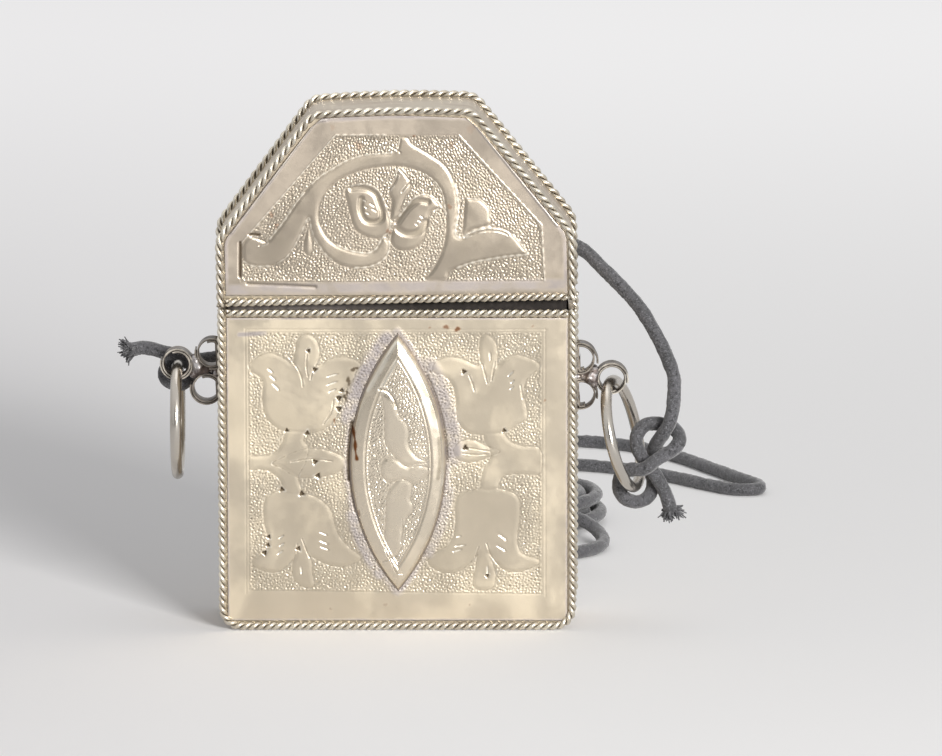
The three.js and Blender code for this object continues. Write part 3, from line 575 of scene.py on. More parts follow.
class Relief:
    """Heights over a sheet, outwards positive, in millimetres, with the masks of its colour:
    tarnish, dirt and stains, and painted shade and highlights.
    """

    def __init__(self, x, z):
        self.x, self.z = x, z
        for mask in ("height", "raised", "ground", "patina", "stain", "shade", "bright",
                     "extra_grime"):
            setattr(self, mask, np.zeros(x.shape))

    def most(self, mask, values):
        setattr(self, mask, np.maximum(getattr(self, mask), values))

    def field(self, ring, depth):
        """A lowered ground inside an outline, with a fine scribed line round it."""
        ring = np.asarray(ring, float)
        line = np.vstack([ring, ring[:1]])
        distance = line_distance(self.x, self.z, line, 1.0)
        within = inside(self.x, self.z, ring)
        self.ground = np.maximum(self.ground, within * smooth(distance / 0.25))
        self.height -= depth * within * smooth(distance / 0.5)
        self.groove(line, 0.02, 0.06, 0.3)

    def shapes(self, outlines, rise, edge=0.6, crown=0.0, round_to=1.6, shade=0.0, struck=1.0):
        """Smooth raised shapes. Each outline is struck with a chisel: short darkened cuts with a
        burr outside them that carries a painted highlight, and a fainter line between the cuts.
        Where shapes meet, no line runs."""
        rings = [closed_curve(points) for points in outlines]
        within = [inside(self.x, self.z, ring) for ring in rings]
        covered = np.sum(within, axis=0)
        for ring, own in zip(rings, within):
            line = np.vstack([ring, ring[:1]])
            distance, along = line_place(self.x, self.z, line, round_to + 0.2)
            lift = rise * smooth(distance / edge)
            lift += crown * (1 - (1 - np.clip(distance / round_to, 0, 1)) ** 2)
            self.raised = np.maximum(self.raised, np.where(own, lift, 0))
            self.ground *= 1 - np.where(own, 1, smooth(1.5 - distance / 0.16))
            self.most("shade", shade * own * smooth(distance / 0.3 - 0.3))
            free = covered - own == 0
            beat = np.sin(TAU * along / 1.3 + 1.7 * np.sin(along * 0.83 + 2.1 * ring[0][0]))
            strike = struck * smooth(0.1 + 1.1 * beat) * np.sin(along * 0.37 + ring[0][1]) ** 2
            burr = np.exp(-((distance - 0.12) / 0.06) ** 2) * ~own * free
            self.height += 0.03 * strike * burr
            cut = np.exp(-((distance - 0.01) / 0.06) ** 2) * free
            self.height -= (0.01 + 0.04 * strike) * cut
            # painted highlight on the burr; the cut below is darkened with dirt and shade
            self.most("bright", 0.85 * strike * burr)
            self.most("extra_grime", (0.2 + 0.55 * smooth(-beat * 1.4 - 0.5)) * cut)

    def ridge(self, line, height, width, bright=0.9):
        """A thin raised line with a painted highlight along it."""
        line = np.asarray(line, float)
        distance, along = line_place(self.x, self.z, line, 4 * width)
        rise = np.exp(-(distance / width) ** 2) * (0.8 + 0.2 * np.sin(along * 2.1))
        self.height += height * rise
        self.most("bright", bright * rise)

    def stroke(self, points, width):
        """A line struck blow by blow: a burr that swells and thins, with a painted highlight on it,
        and darker beside it at each end of a blow.
        """
        distance, along = line_place(self.x, self.z, catmull(points, 0.1), 6 * width)
        beat = 0.5 + 0.5 * np.sin(TAU * along / 1.1 + 0.8 * np.sin(along))
        rise = np.exp(-(distance / (width * (0.6 + 0.6 * beat))) ** 2)
        self.height += 0.05 * rise
        # painted highlight on the burr
        self.most("bright", (0.55 + 0.45 * beat) * rise)
        # darker beside the burr where the blows thin
        dark = np.exp(-((distance - 2.2 * width) / (0.8 * width)) ** 2)
        self.most("extra_grime", 0.5 * (1 - beat) * dark)

    def groove(self, line, depth, width, dirt_and_shade=0.6):
        distance = line_distance(self.x, self.z, np.asarray(line, float), 4 * width)
        cut = np.exp(-(distance / width) ** 2)
        self.height -= depth * cut
        self.most("extra_grime", dirt_and_shade * cut)

    def channel(self, points, depth, width, shade=0.8):
        """A broad smooth hollow, darker at its middle."""
        distance = line_distance(self.x, self.z, catmull(points, 0.12), 3 * width)
        cut = np.exp(-(distance / width) ** 4)
        self.height -= depth * cut
        self.most("shade", shade * cut)

    def chased(self, points, depth=0.05, width=0.08, dirt_and_shade=0.3, burr=0.3):
        """A struck line, darkened, with a faint burr beside it that carries a painted highlight."""
        line = catmull(points, 0.1)
        distance, along = line_place(self.x, self.z, line, 0.8)
        cut = np.exp(-(distance / width) ** 2)
        self.height -= depth * cut
        self.most("extra_grime", dirt_and_shade * cut)
        edge = np.exp(-((distance - 2 * width) / width) ** 2) * smooth(0.5 + np.sin(along * 3.1))
        self.height += 0.4 * depth * edge
        # painted highlight on the burr
        self.most("bright", burr * edge)

    def notch(self, line, width=0.13):
        """A short cut of a pointed chisel: a lens-shaped painted highlight, with a painted shadow
        spot at its end.
        """
        a, b = np.asarray(line, float)
        place = np.stack([self.x, self.z], -1) - (a + b) / 2
        way = (b - a) / np.linalg.norm(b - a)
        u = place @ way / (np.linalg.norm(b - a) / 2)
        v = place @ np.array([-way[1], way[0]])
        half = width * (0.55 + 0.45 * np.clip(1 - u ** 2, 0, 1))
        lens = smooth((1 - u ** 2) * 1.6) * np.exp(-(v / half) ** 4)
        self.height -= 0.13 * lens * np.clip(0.5 + v / width, 0, 1)
        # painted highlight on the lens
        self.most("bright", lens)
        # a painted shadow spot at the lens's end
        self.most("extra_grime", 0.55 * np.exp(-((u - 1) / 0.22) ** 2 - (v / width) ** 2))

    def hole(self, x, z, size=0.26):
        """A small three-cornered punch mark, darkened inside, with a painted highlight on its rim
        on one side.
        """
        dx, dz = self.x - x, self.z - z
        turn = np.arctan2(dz, dx) + 3 * x
        gap = np.hypot(dx, dz) * (1 + 0.28 * np.cos(3 * turn))
        dent = np.exp(-(gap / size) ** 6)
        self.height -= 0.3 * dent
        self.most("extra_grime", 1.25 * dent)
        rim = np.exp(-((gap - 1.5 * size) / (0.4 * size)) ** 2)
        # painted highlight on one side of the rim
        self.most("bright", 0.8 * rim * smooth(0.3 + np.sin(turn)))

    def spot(self, x, z, size, strength, mask, stretch=(1, 1)):
        dx, dz = (self.x - x) / stretch[0], (self.z - z) / stretch[1]
        gap = np.hypot(dx, dz)
        turn = np.arctan2(dz, dx)
        wobble = 1 + 0.2 * np.sin(2 * turn + 3 * x) + 0.14 * np.sin(3 * turn + 5 * z)
        self.most(mask, strength * smooth(1.7 - gap / (size * wobble)))

    def stipple(self, spacing=0.38, depth=0.036, size=0.125, dirt_and_shade=1.0):
        """Punched ground: close, uneven round dents with darkened pits, some with a painted glint
        beside them.
        """
        rows, columns = self.x.shape
        low = (self.x.min(), self.z.min())
        high = (self.x.max(), self.z.max())
        nx, nz = int((high[0] - low[0]) / spacing), int((high[1] - low[1]) / (spacing * 0.87))
        gx, gz = np.meshgrid(np.arange(nx), np.arange(nz))
        px = low[0] + (gx + 0.5 * (gz % 2)) * spacing + rng.normal(0, spacing * 0.24, gx.shape)
        pz = low[1] + gz * spacing * 0.87 + rng.normal(0, spacing * 0.24, gx.shape)
        reach = spacing * 1.3
        dents, sparks = np.zeros(self.x.shape), np.zeros(self.x.shape)
        z_of_row = self.z[:, columns // 2]
        turns = rng.uniform(0.1, 0.9, px.size) * math.pi
        glints = 1.1 * rng.uniform(0, 1, px.size) ** 4
        for x, z, r, turn, glint in zip(px.ravel(), pz.ravel(), rng.uniform(0.7, 1.3, px.size),
                                        turns, glints):
            r0, r1 = np.searchsorted(z_of_row, (z - reach, z + reach))
            if r0 >= r1:
                continue
            row = self.x[(r0 + r1) // 2]
            c0, c1 = np.searchsorted(row, (x - reach, x + reach))
            if c0 >= c1 or self.ground[r0:r1, c0:c1].max() < 0.05:
                continue
            dx, dz = self.x[r0:r1, c0:c1] - x, self.z[r0:r1, c0:c1] - z
            gap = np.hypot(dx, dz)
            dents[r0:r1, c0:c1] += r * (np.exp(-(gap / (size * r)) ** 2)
                                        - 0.4 * np.exp(-((gap - 1.8 * size) / (0.7 * size)) ** 2))
            side = np.hypot(dx - 1.5 * size * math.cos(turn), dz - 1.5 * size * math.sin(turn))
            sparks[r0:r1, c0:c1] += glint * np.exp(-(side / (0.62 * size)) ** 2)
        dirt = 0.5 + 0.5 * np.sin(0.33 * self.x + 1.1 * np.sin(0.41 * self.z)) * np.sin(
            0.52 * self.z + 1.3 * np.sin(0.29 * self.x))
        self.height -= depth * dents * self.ground
        dirt += 0.8 * smooth((-14 - self.x) / 5) * smooth((30 - self.z) / 12)
        dents = np.clip(dents, 0, 1) * self.ground
        self.most("extra_grime", dirt_and_shade * np.clip(0.5 + 0.35 * dirt, 0, 1) * dents)
        # painted glints beside some dents
        self.most("bright", self.ground * np.clip(sparks, 0, 1))

    def wear(self, amount=0.06):
        """Slow hollows and swellings of hand-worked sheet."""
        waves = np.zeros(self.x.shape)
        for _ in range(14):
            k = rng.normal(0, 0.35, 2)
            waves += np.sin(k[0] * self.x + k[1] * self.z + rng.uniform(0, TAU))
        self.height += amount * waves / 5

    def total(self):
        return self.height + self.raised

    # Dark dirt mixed with painted shade: the marked dirt and shade, and darkening wherever the
    # sheet lies lower than its surroundings.
    def dirt_and_shade(self):
        height = self.total()
        padded = np.pad(height, 3, mode="edge")
        blurred = sum(padded[3 + i:padded.shape[0] - 3 + i, 3 + j:padded.shape[1] - 3 + j]
                      for i in (-3, 0, 3) for j in (-3, 0, 3)) / 9
        return np.clip(self.extra_grime * 0.8 + np.clip((blurred - height) * 2.2, 0, 0.35), 0, 1)


def sheet_from_relief(name, relief, face_y, back_y, material):
    """A closed sheet whose front follows the relief."""
    height = relief.total()
    x, z = relief.x, relief.z
    rows, columns = x.shape
    front = np.stack([x, -face_y - height, z], -1).reshape(-1, 3)
    back = np.stack([x, np.full(x.shape, -back_y), z], -1)
    edge = np.concatenate([
        np.arange(columns), np.arange(1, rows) * columns + columns - 1,
        (rows - 1) * columns + np.arange(columns - 2, -1, -1),
        np.arange(rows - 2, 0, -1) * columns])
    rim = back.reshape(-1, 3)[edge]
    verts = np.vstack([front, rim])
    i, j = np.meshgrid(np.arange(rows - 1), np.arange(columns - 1), indexing="ij")
    at = i * columns + j
    faces = np.stack([at, at + 1, at + columns + 1, at + columns], -1).reshape(-1, 4).tolist()
    base = rows * columns
    count = len(edge)
    for k in range(count):
        nxt = (k + 1) % count
        faces.append([int(edge[nxt]), int(edge[k]), base + k, base + nxt])
    faces.append([base + k for k in range(count)][::-1])
    obj = new_object(name, verts, faces, material)
    pad = np.zeros(count)
    for mask, values in (("dirt_and_shade", relief.dirt_and_shade()), ("patina", relief.patina),
                         ("stain", relief.stain), ("shade", relief.shade),
                         ("bright", relief.bright)):
        attribute(obj, mask, np.concatenate([np.clip(values, 0, 1).ravel(), pad]))
    return obj


BODY_FRAME = [(-21.0, 5.7), (-20.95, 42.75), (20.35, 42.75), (20.45, 5.15)]
LID_FRAME = [(-21.95, 49.9), (-21.95, 55.3), (-8.6, 70.75), (8.7, 70.7), (20.3, 58.0),
             (20.75, 50.05)]
BODY_SHAPES = [
    # stems, leaves and the tulip of each corner; first the left half, top to bottom
    [(-15.7, 28.6), (-16.2, 27), (-17.5, 25.4), (-19.4, 25), (-20.8, 24.9), (-20.8, 23.1),
     (-19.4, 23.1), (-18, 22.8), (-17, 22), (-16.3, 21), (-16.2, 19.9), (-14.8, 19.3),
     (-13.5, 19.7), (-13.7, 20.8), (-14, 22), (-13, 24), (-12.6, 26.4), (-13.2, 27.2),
     (-13.2, 28.4), (-14.5, 28.8)],
    [(-15.7, 28.5), (-17.2, 29.2), (-18.4, 30.4), (-18.9, 32), (-19, 33.8), (-18.9, 35.6),
     (-19.5, 36.5), (-20.5, 37.1), (-20.9, 37.9), (-20.2, 38.8), (-19, 39.5), (-17.8, 39.8),
     (-16.5, 39.3), (-15.5, 38.7), (-14.8, 38.2), (-14.5, 39.3), (-14.3, 40.5), (-14.1, 41.6),
     (-13.5, 42.2), (-12.8, 42.5), (-12.1, 42.3), (-11.5, 41.8), (-11.1, 41), (-10.9, 40),
     (-11, 39), (-11.3, 38.1), (-10.7, 38.1), (-10, 38.6), (-9, 39), (-7.8, 39.2),
     (-6.6, 39), (-5.6, 38.6), (-5.1, 38.1), (-5.7, 37.2), (-6.2, 36), (-6.7, 35.1),
     (-7.6, 34.5), (-8.2, 33.6), (-8.3, 32.3), (-8.4, 31.2), (-9, 30.1), (-9.9, 29.2),
     (-11.2, 28.5), (-13.2, 28.3)],
    [(-16.2, 20), (-17.4, 19.8), (-18.5, 19.1), (-18.9, 18), (-18.9, 16.2), (-18.7, 14.8),
     (-18.3, 13.4), (-18.3, 12.2), (-18.9, 11.1), (-19.8, 10.5), (-20.6, 10), (-20.4, 9.2),
     (-19.5, 8.7), (-18.2, 8.3), (-17, 8.3), (-16, 8.9), (-15, 9.9), (-14.5, 10.7),
     (-14.8, 9.8), (-14.9, 8.6), (-14.7, 7.4), (-14.1, 6.6), (-13.2, 6.1), (-12.3, 6),
     (-11.8, 6.4), (-11.9, 7.4), (-12.1, 8.6), (-12.1, 9.7), (-12.5, 10.6), (-11.6, 10.2),
     (-10.2, 9.5), (-8.6, 9.1), (-7, 9.2), (-5.9, 9.7), (-5.1, 10.3), (-5.5, 10.9),
     (-6.4, 11.5), (-7.2, 12.3), (-8, 13.2), (-8.6, 14.3), (-9, 15.8), (-9.4, 17.2),
     (-10.3, 18.3), (-11.6, 19.2), (-13.5, 19.7)],
    # the right half
    [(12.4, 28.2), (12.3, 27.2), (12.9, 26.3), (13.2, 25.2), (12.9, 24.2), (12.3, 23.4),
     (11.9, 22), (11.8, 20.4), (13, 20), (14.2, 20.4), (14.4, 21.2), (14.9, 22), (16, 22.4),
     (18.3, 22.4), (20.1, 22.5), (20.1, 26.1), (17.5, 26.5), (15.9, 27.2), (14.9, 28.3)],
    [(14.9, 28.3), (16.2, 29), (17.4, 29.8), (18.3, 30.6), (18.2, 32), (17.9, 33.6),
     (17.9, 35), (18.4, 36.2), (19.3, 37), (20, 37.5), (20.1, 38.1), (19.4, 38.7),
     (18.2, 39.2), (16.9, 39.5), (15.7, 39.1), (14.7, 38.5), (14.1, 38), (14.15, 39),
     (14.15, 40), (13.9, 41.2), (13.3, 42), (12.6, 42.4), (11.9, 42.1), (11.6, 41.3),
     (11.6, 40), (11.7, 38.8), (11.8, 38.1), (11.2, 38), (10.3, 38.4), (9.2, 38.9),
     (7.8, 39.2), (6.4, 39), (5.4, 38.4), (4.9, 37.6), (5.3, 36.9), (6.3, 36.7), (7.2, 36),
     (7.9, 34.9), (8.2, 33.4), (8.3, 31.8), (8.5, 30.2), (9.1, 29.1), (10.2, 28.3),
     (12.4, 28.1)],
    [(11.8, 20.4), (10.6, 20.1), (9.3, 19.7), (8.4, 19), (8.1, 17.8), (8.2, 16.2),
     (8.1, 14.8), (7.8, 13.2), (7.1, 12.2), (6.1, 11.5), (5, 10.8), (4.3, 10), (4.5, 9.3),
     (5.3, 8.7), (6.5, 8.2), (7.8, 8.2), (9, 8.6), (10, 9.4), (10.8, 10.3), (11.4, 11.2),
     (11.2, 10.2), (11, 8.9), (10.7, 7.6), (10.7, 6.4), (11.3, 5.8), (12.8, 5.7),
     (13.5, 6.1), (13.9, 7.2), (13.8, 8.6), (13.4, 9.8), (12.9, 11), (13.5, 10.3),
     (14.3, 9.3), (15.2, 8.6), (16.3, 8.3), (17.6, 8.4), (18.9, 8.9), (19.9, 9.4),
     (20.1, 10), (19.3, 10.4), (18.2, 10.7), (17.4, 11.3), (17, 12.4), (17, 13.8),
     (17.2, 15.4), (17.3, 17.2), (17.2, 18.7), (16.6, 19.6), (15.4, 20.1), (14.2, 20.4),
     (13, 20.3)],
]
BODY_LEAVES = [
    [(-17.7, 23.9), (-16.2, 24.8), (-14.5, 25.6), (-12.5, 26.1), (-10.5, 26), (-8.8, 25.5),
     (-7.5, 24.7), (-7.4, 23.6), (-8.6, 22.6), (-10.2, 22.1), (-12.2, 21.9), (-13.9, 21.9),
     (-15.2, 22.5), (-16.3, 23.3)],
    [(7.9, 25.9), (8.6, 26.9), (9.8, 27.4), (11.2, 27.2), (12.5, 26.5), (14.5, 25.7),
     (13, 24.9), (11.4, 24.3), (9.7, 24.1), (8.4, 24.7)],
]
BODY_LINES = [
    [(-15.5, 39.6), (-14.8, 38.6), (-14, 37.5), (-13.5, 36.3), (-13.3, 35)],
    [(-11.3, 38.2), (-11.9, 37.2), (-12.2, 36)], [(-12.7, 39.7), (-12.8, 38), (-12.6, 36.4)],
    [(-14.2, 12.4), (-14.2, 11)], [(-13.5, 13.1), (-12.8, 11.2), (-12.4, 10.4)],
    [(12, 38.2), (12.3, 37), (12.7, 35.4)], [(13.8, 38.5), (13.5, 37), (13.3, 35.8)],
    [(11.5, 12), (11, 10.5)], [(12.6, 12.5), (13.2, 10.8), (14.2, 9.4)],
    [(10.1, 36.6), (10.5, 35.6), (10.9, 34.3)], [(17.4, 35.2), (17.7, 33.2)],
    [(-15, 24.2), (-12, 24.6), (-9.2, 24.3)], [(9.4, 26.3), (11.2, 26), (13, 25.7)],
    [(9.2, 25.4), (11.2, 25.2), (12.6, 25.3)], [(-10.4, 29.6), (-9.2, 31.6), (-9, 33)],
]
BODY_NOTCHES = [
    ((-18.3, 37.6), (-17.5, 36.9)), ((-18, 36.6), (-17.1, 35.8)), ((-17.7, 35.5), (-16.6, 34.4)),
    ((-10, 36.3), (-8.3, 36.8)), ((-10, 35.1), (-8.4, 35.7)), ((-9.7, 34.1), (-8.6, 34.6)),
    ((-16.8, 13.1), (-16.1, 13.6)), ((-16.7, 12), (-16, 12.5)), ((-17, 10.8), (-16.2, 11.4)),
    ((-11.1, 14.1), (-9.9, 13.6)), ((-11.1, 12.9), (-9.8, 12.3)), ((-11, 12), (-9.7, 11.5)),
    ((15.6, 36.4), (16.4, 37.2)), ((16, 35.4), (16.5, 35.9)), ((15.9, 34.5), (16.4, 35)),
    ((8, 12), (9.6, 12.2)), ((7.7, 11.2), (9.1, 11.6)), ((8.3, 13.4), (9, 13.5)),
    ((14.2, 13.8), (15.5, 12.8)), ((13.9, 12.2), (15.4, 11.3)), ((13, 40), (13.1, 38.6)),
    ((-12.6, 40.5), (-12.6, 39.7)), ((-13.7, 9.2), (-13.6, 8)), ((12.7, 9.3), (12.7, 8)),
]
BODY_HOLES = [(-12.5, 40.1), (-15.6, 28.7), (-12.7, 28.3), (-8.2, 33.3), (-8.2, 31.8),
              (-7.8, 34.4), (-11.6, 37.4), (-16.3, 20.2), (-13.5, 19.6), (-18.2, 13.4),
              (-18.3, 12.2), (-18.8, 11.1), (-14, 11.7), (9.4, 37.1), (15.1, 28.7),
              (9.6, 26.2), (12.7, 7.8), (-11.2, 22.2), (-11.6, 24.2)]
LID_VINE = [
    # the leaf at the left, the arch over the top, then down the right to the foot of the stem
    (-21.5, 55.5), (-20.7, 56.3), (-19.6, 56.1), (-18.5, 55.7), (-17.9, 56), (-17.1, 57),
    (-16, 58.4), (-15, 59.9), (-14, 61.4), (-13, 62.6), (-12, 63.8), (-11, 64.7), (-10, 65.4),
    (-8.8, 66.1), (-7.5, 66.9), (-6, 67.5), (-4.5, 67.9), (-2.4, 68.1), (-0.5, 68.3),
    (0.1, 68.9), (0.3, 69.8), (0.4, 70.4), (1.4, 70.4), (2.1, 69.5), (3.4, 68.7), (5, 67.7),
    (6.4, 66.7), (7.4, 65.4), (8.1, 63.8), (8.5, 62), (8.6, 60.4), (8.5, 59), (8.2, 57.4),
    (8.3, 56.5), (9.1, 56.2), (10.4, 56.9), (11.6, 57.4), (13, 57.7), (14.8, 57.5),
    (16.2, 56.7), (17.4, 55.3), (18.3, 53.9), (17, 53.7), (15.2, 53.5), (12.8, 53.1),
    (10.4, 52.6), (8.4, 51.9), (7.3, 51.3), (7, 50.3), (5.4, 50.2), (3.9, 50.3), (4.7, 51.2),
    (5.6, 52.6), (6.3, 54.2), (6.8, 56), (6.95, 57.8), (6.9, 59.4), (6.6, 61.2), (6.2, 62.8),
    (5.4, 64), (4, 65.2), (2.2, 66), (0, 66.4), (-2, 66.3), (-4, 66), (-5.8, 65.5),
    (-7.4, 64.8), (-8.9, 63.9), (-10.1, 62.5), (-10.8, 61.1), (-11, 59.7), (-10.9, 58.4),
    (-10.4, 57.2), (-9.6, 56), (-8.4, 55.1), (-7, 54.5), (-5.4, 54.1), (-4.1, 54),
    (-3.1, 54.5), (-2.5, 55.4), (-2, 56.2), (-1.2, 55.8), (-1.1, 54.6), (-1.6, 53.4),
    (-2.7, 52.5), (-4.2, 52), (-6, 51.9), (-7.8, 52.3), (-9.1, 53), (-10.1, 53.9),
    (-10.9, 55), (-11.6, 56.2), (-12, 57.4), (-12.4, 59.1), (-13, 57.9), (-13.6, 56.6),
    (-14.2, 55.4), (-14.9, 54.2), (-15.8, 53.2), (-16.8, 52.6), (-18, 52.2), (-19.5, 52.1),
    (-20.7, 52.3), (-21.5, 52.8),
]
LID_SHAPES = [
    # the flower in the scroll: left petal, right petal and bud; then the bud by the leaf
    [(-7.2, 62.9), (-6.9, 61), (-6.5, 59.3), (-6.1, 57.9), (-5.4, 57), (-4.3, 56.4),
     (-3, 56.1), (-2, 56.3), (-1.2, 57), (-0.9, 58), (-1.1, 59.2), (-1.5, 60.4), (-1.9, 61.6),
     (-2.4, 62.6), (-3.2, 63.4), (-4.3, 63.8), (-5.5, 63.7), (-6.4, 63.5)],
    [(-0.7, 56.8), (-0.3, 58), (0.3, 59.2), (1.2, 60.4), (2, 61.4), (2.9, 62.1), (3.9, 62.3),
     (5, 61.9), (5.9, 61), (6.3, 60.4), (5.4, 60.2), (4.8, 59.9), (4.4, 59.2), (4.3, 58.2),
     (4, 56.8), (3.4, 55.6), (2.4, 54.7), (1, 54.4), (-0.2, 54.7), (-0.8, 55.6)],
    [(-0.8, 58.8), (-0.8, 60.2), (-0.7, 61.6), (-1.1, 62.7), (-0.7, 63.6), (-0.2, 64.6),
     (0, 65.6), (0.3, 66.1), (0.9, 65.7), (1.6, 64.8), (1.9, 63.8), (1.7, 62.9), (1.1, 62),
     (0.7, 61), (0.3, 59.9), (-0.1, 59)],
    [(-12.4, 57.6), (-12.9, 56.2), (-13.1, 55), (-12.9, 54), (-12.4, 53.7), (-12, 54.2),
     (-11.9, 55.2), (-12.1, 56.4)],
    # the round leaf at the right
    [(9.3, 57.9), (9.4, 59.4), (9.5, 60.8), (9.7, 61.8), (10.6, 61.7), (11.6, 61.6),
     (12.4, 61), (13, 60.2), (13.1, 59.1), (13.1, 58.2), (12.2, 57.8), (11, 57.5), (10, 57.1),
     (9.3, 56.7)],
]
LID_LINES = [
    [(9.5, 56.3), (11, 56.9), (12.6, 57.2), (14.4, 57.1), (15.6, 56.6)],
    [(-20.4, 56.3), (-19.2, 55.9), (-18.4, 55.5), (-19.3, 55.1)],
    [(-2.4, 68.7), (-1.7, 69.2), (-1, 69.2)], [(-0.8, 69.1), (-0.1, 68.7), (0.5, 68.3)],
    [(-1.1, 62.9), (-0.4, 63.9), (0.1, 64.9)], [(0.7, 62.7), (1.2, 63.3), (1.8, 63.9)],
    [(0.4, 65.9), (1, 65.3), (1.6, 64.5)],
]
LID_NOTCHES = [((-4.8, 61.6), (-4.3, 61.3)), ((-4.7, 60.7), (-4.1, 60.3)),
               ((-4.5, 59.8), (-3.8, 59.5)), ((-3.9, 61.1), (-3, 60.5)),
               ((-3.6, 60.3), (-2.7, 59.8)), ((3.2, 59.3), (3.7, 59)), ((2.9, 58.7), (3.4, 58.4)),
               ((2.5, 58.2), (3, 57.9)), ((5.2, 59.9), (6, 60.5))]
LID_STROKES = [
    # the chisel strokes along the ornament and its frame, with painted highlights: points, width
    (LID_VINE[4:10], 0.09), (LID_VINE[10:22], 0.08), (LID_VINE[28:38], 0.15),
    (LID_VINE[39:47], 0.11), (LID_VINE[56:61], 0.07), (LID_VINE[74:87], 0.09),
    (LID_VINE[88:100], 0.06), (LID_VINE[100:111], 0.07), (LID_SHAPES[1][2:10], 0.09),
    (LID_SHAPES[0][7:18], 0.08), (LID_SHAPES[2][5:10], 0.09), (LID_SHAPES[4][3:9], 0.06),
    (LID_FRAME[1:3], 0.07), ([LID_FRAME[2], (-1.4, 70.75)], 0.06), (LID_FRAME[3:5], 0.09),
    (LID_FRAME[4:6], 0.06),
]


def row_grid(x_low, x_high, z_low, z_high, step):
    """Rows of points between two edges that depend on z, and a top edge that depends on x."""
    rows = int((z_high(0.0) - z_low) / step)
    columns = int((x_high(z_low) - x_low(z_low)) / step)
    t, u = np.linspace(0, 1, rows), np.linspace(0, 1, columns)
    z_row = z_low + t * (z_high(0.0) - z_low)
    left = np.array([x_low(z) for z in z_row])[:, None]
    right = np.array([x_high(z) for z in z_row])[:, None]
    x = left + (right - left) * u[None, :]
    share = t[:, None] ** 6
    z = z_row[:, None] + share * (np.vectorize(z_high)(x) - z_high(0.0))
    return x, z


def edge_patina(relief, line, width, strength):
    distance = line_distance(relief.x, relief.z, np.asarray(line, float), width * 2)
    relief.most("patina", strength * smooth(1.4 - distance / width))


def boss_half_width(z):
    """Half the width of the boss's pointed oval at a height."""
    reach = BOSS_ARC ** 2 - (z - BOSS_MIDDLE[1]) ** 2
    return np.sqrt(np.maximum(reach, 0)) - (BOSS_ARC - BOSS_HALF_WIDTH)


def body_panel(material):
    half = HALF_WIDTH - PANEL_INSET
    low, high = PANEL_INSET, BODY_HEIGHT - PANEL_INSET
    x, z = row_grid(lambda _: -half, lambda _: half, low, lambda _: high, PANEL_STEP)
    relief = Relief(x, z)
    relief.wear(0.05)
    relief.field(BODY_FRAME, 0.03)
    relief.most("shade", 0.2 * inside(x, z, np.asarray(BODY_FRAME, float)))
    relief.shapes(BODY_SHAPES, 0.03, struck=0.8)
    relief.shapes(BODY_LEAVES, 0.035, crown=0.02, struck=0.8)
    relief.stipple()
    for line in BODY_LINES:
        relief.chased(line)
    for line in BODY_NOTCHES:
        relief.notch(line)
    for x_at, z_at in BODY_HOLES:
        relief.hole(x_at, z_at, rng.uniform(0.2, 0.3))
    for line in ([(20.85, 43.2), (20.95, 4.8)], [(-21.4, 43.3), (-21.4, 5.2)],
                 [(-21.3, 43.15), (21.1, 43.15)]):
        relief.groove(line, 0.02, 0.06, 0.2)

    def beside_boss(side, start, end, away=0.0):
        return [(BOSS_MIDDLE[0] + side * (boss_half_width(k) + away), k)
                for k in np.linspace(start, end, 40)]

    for side, start, end, away, width, strength in (
            (-1, 5.6, 42.6, 0.0, 0.8, 0.8), (1, 5.6, 42.6, 0.0, 0.6, 0.8),
            (-1, 30.5, 41.8, 0.8, 1.15, 1.0), (-1, 8, 16.5, 0.7, 0.9, 0.9),
            (1, 25, 38, 1.0, 1.3, 0.9), (1, 11, 20, 0.6, 0.8, 0.7)):
        edge_patina(relief, beside_boss(side, start, end, away), width, strength)
    relief.height += 0.05 * relief.patina
    # grooves beside the boss; the deep one at the left is darkened as a painted shadow line along
    # the join
    relief.groove(beside_boss(-1, 21.6, 29.8, 0.12), 0.2, 0.27, 1.2)
    relief.groove(beside_boss(-1, 17, 22, 0.08), 0.1, 0.12, 0.9)
    relief.groove(beside_boss(1, 24.5, 36.5, 0.06), 0.1, 0.12, 0.8)
    for crust in ((-6.2, 37.4, 0.28, 1.2), (-5.7, 37.6, 0.2, 1.2), (-6.9, 35.9, 0.32, 1.2),
                  (-6.8, 35.4, 0.24, 1.1), (-7.1, 34.1, 0.26, 1.1), (-7.4, 33.5, 0.3, 1.2),
                  (-7.2, 33, 0.22, 0.9), (-8.3, 33.4, 0.2, 1.1), (3.2, 10.3, 0.2, 0.9),
                  (3.9, 11, 0.16, 0.8)):
        relief.spot(*crust, "extra_grime")
    border = [(-half, low), (-half, high), (half, high), (half, low), (-half, low)]
    edge_patina(relief, border, 0.28, 0.9)
    edge_patina(relief, [(-22.2, 42.4), (-18.6, 42.6)], 0.35, 0.9)
    for spot in ((6.9, 43.5, 0.3, 0.8), (8.5, 43.2, 0.32, 0.9), (4.6, 43.4, 0.14, 0.6),
                 (-8.9, 30.1, 0.16, 0.8, (0.8, 1.6)), (20.8, 33, 0.16, 0.6), (-1.7, 3.6, 0.2, 0.35),
                 (19.1, 43.6, 0.15, 0.5), (-9.5, 3, 0.14, 0.4), (10.2, 3.6, 0.12, 0.4)):
        relief.spot(*spot[:4], "stain", *spot[4:])
    return sheet_from_relief("body_panel_chased", relief, PANEL_FACE_Y, PANEL_BACK_Y, material)


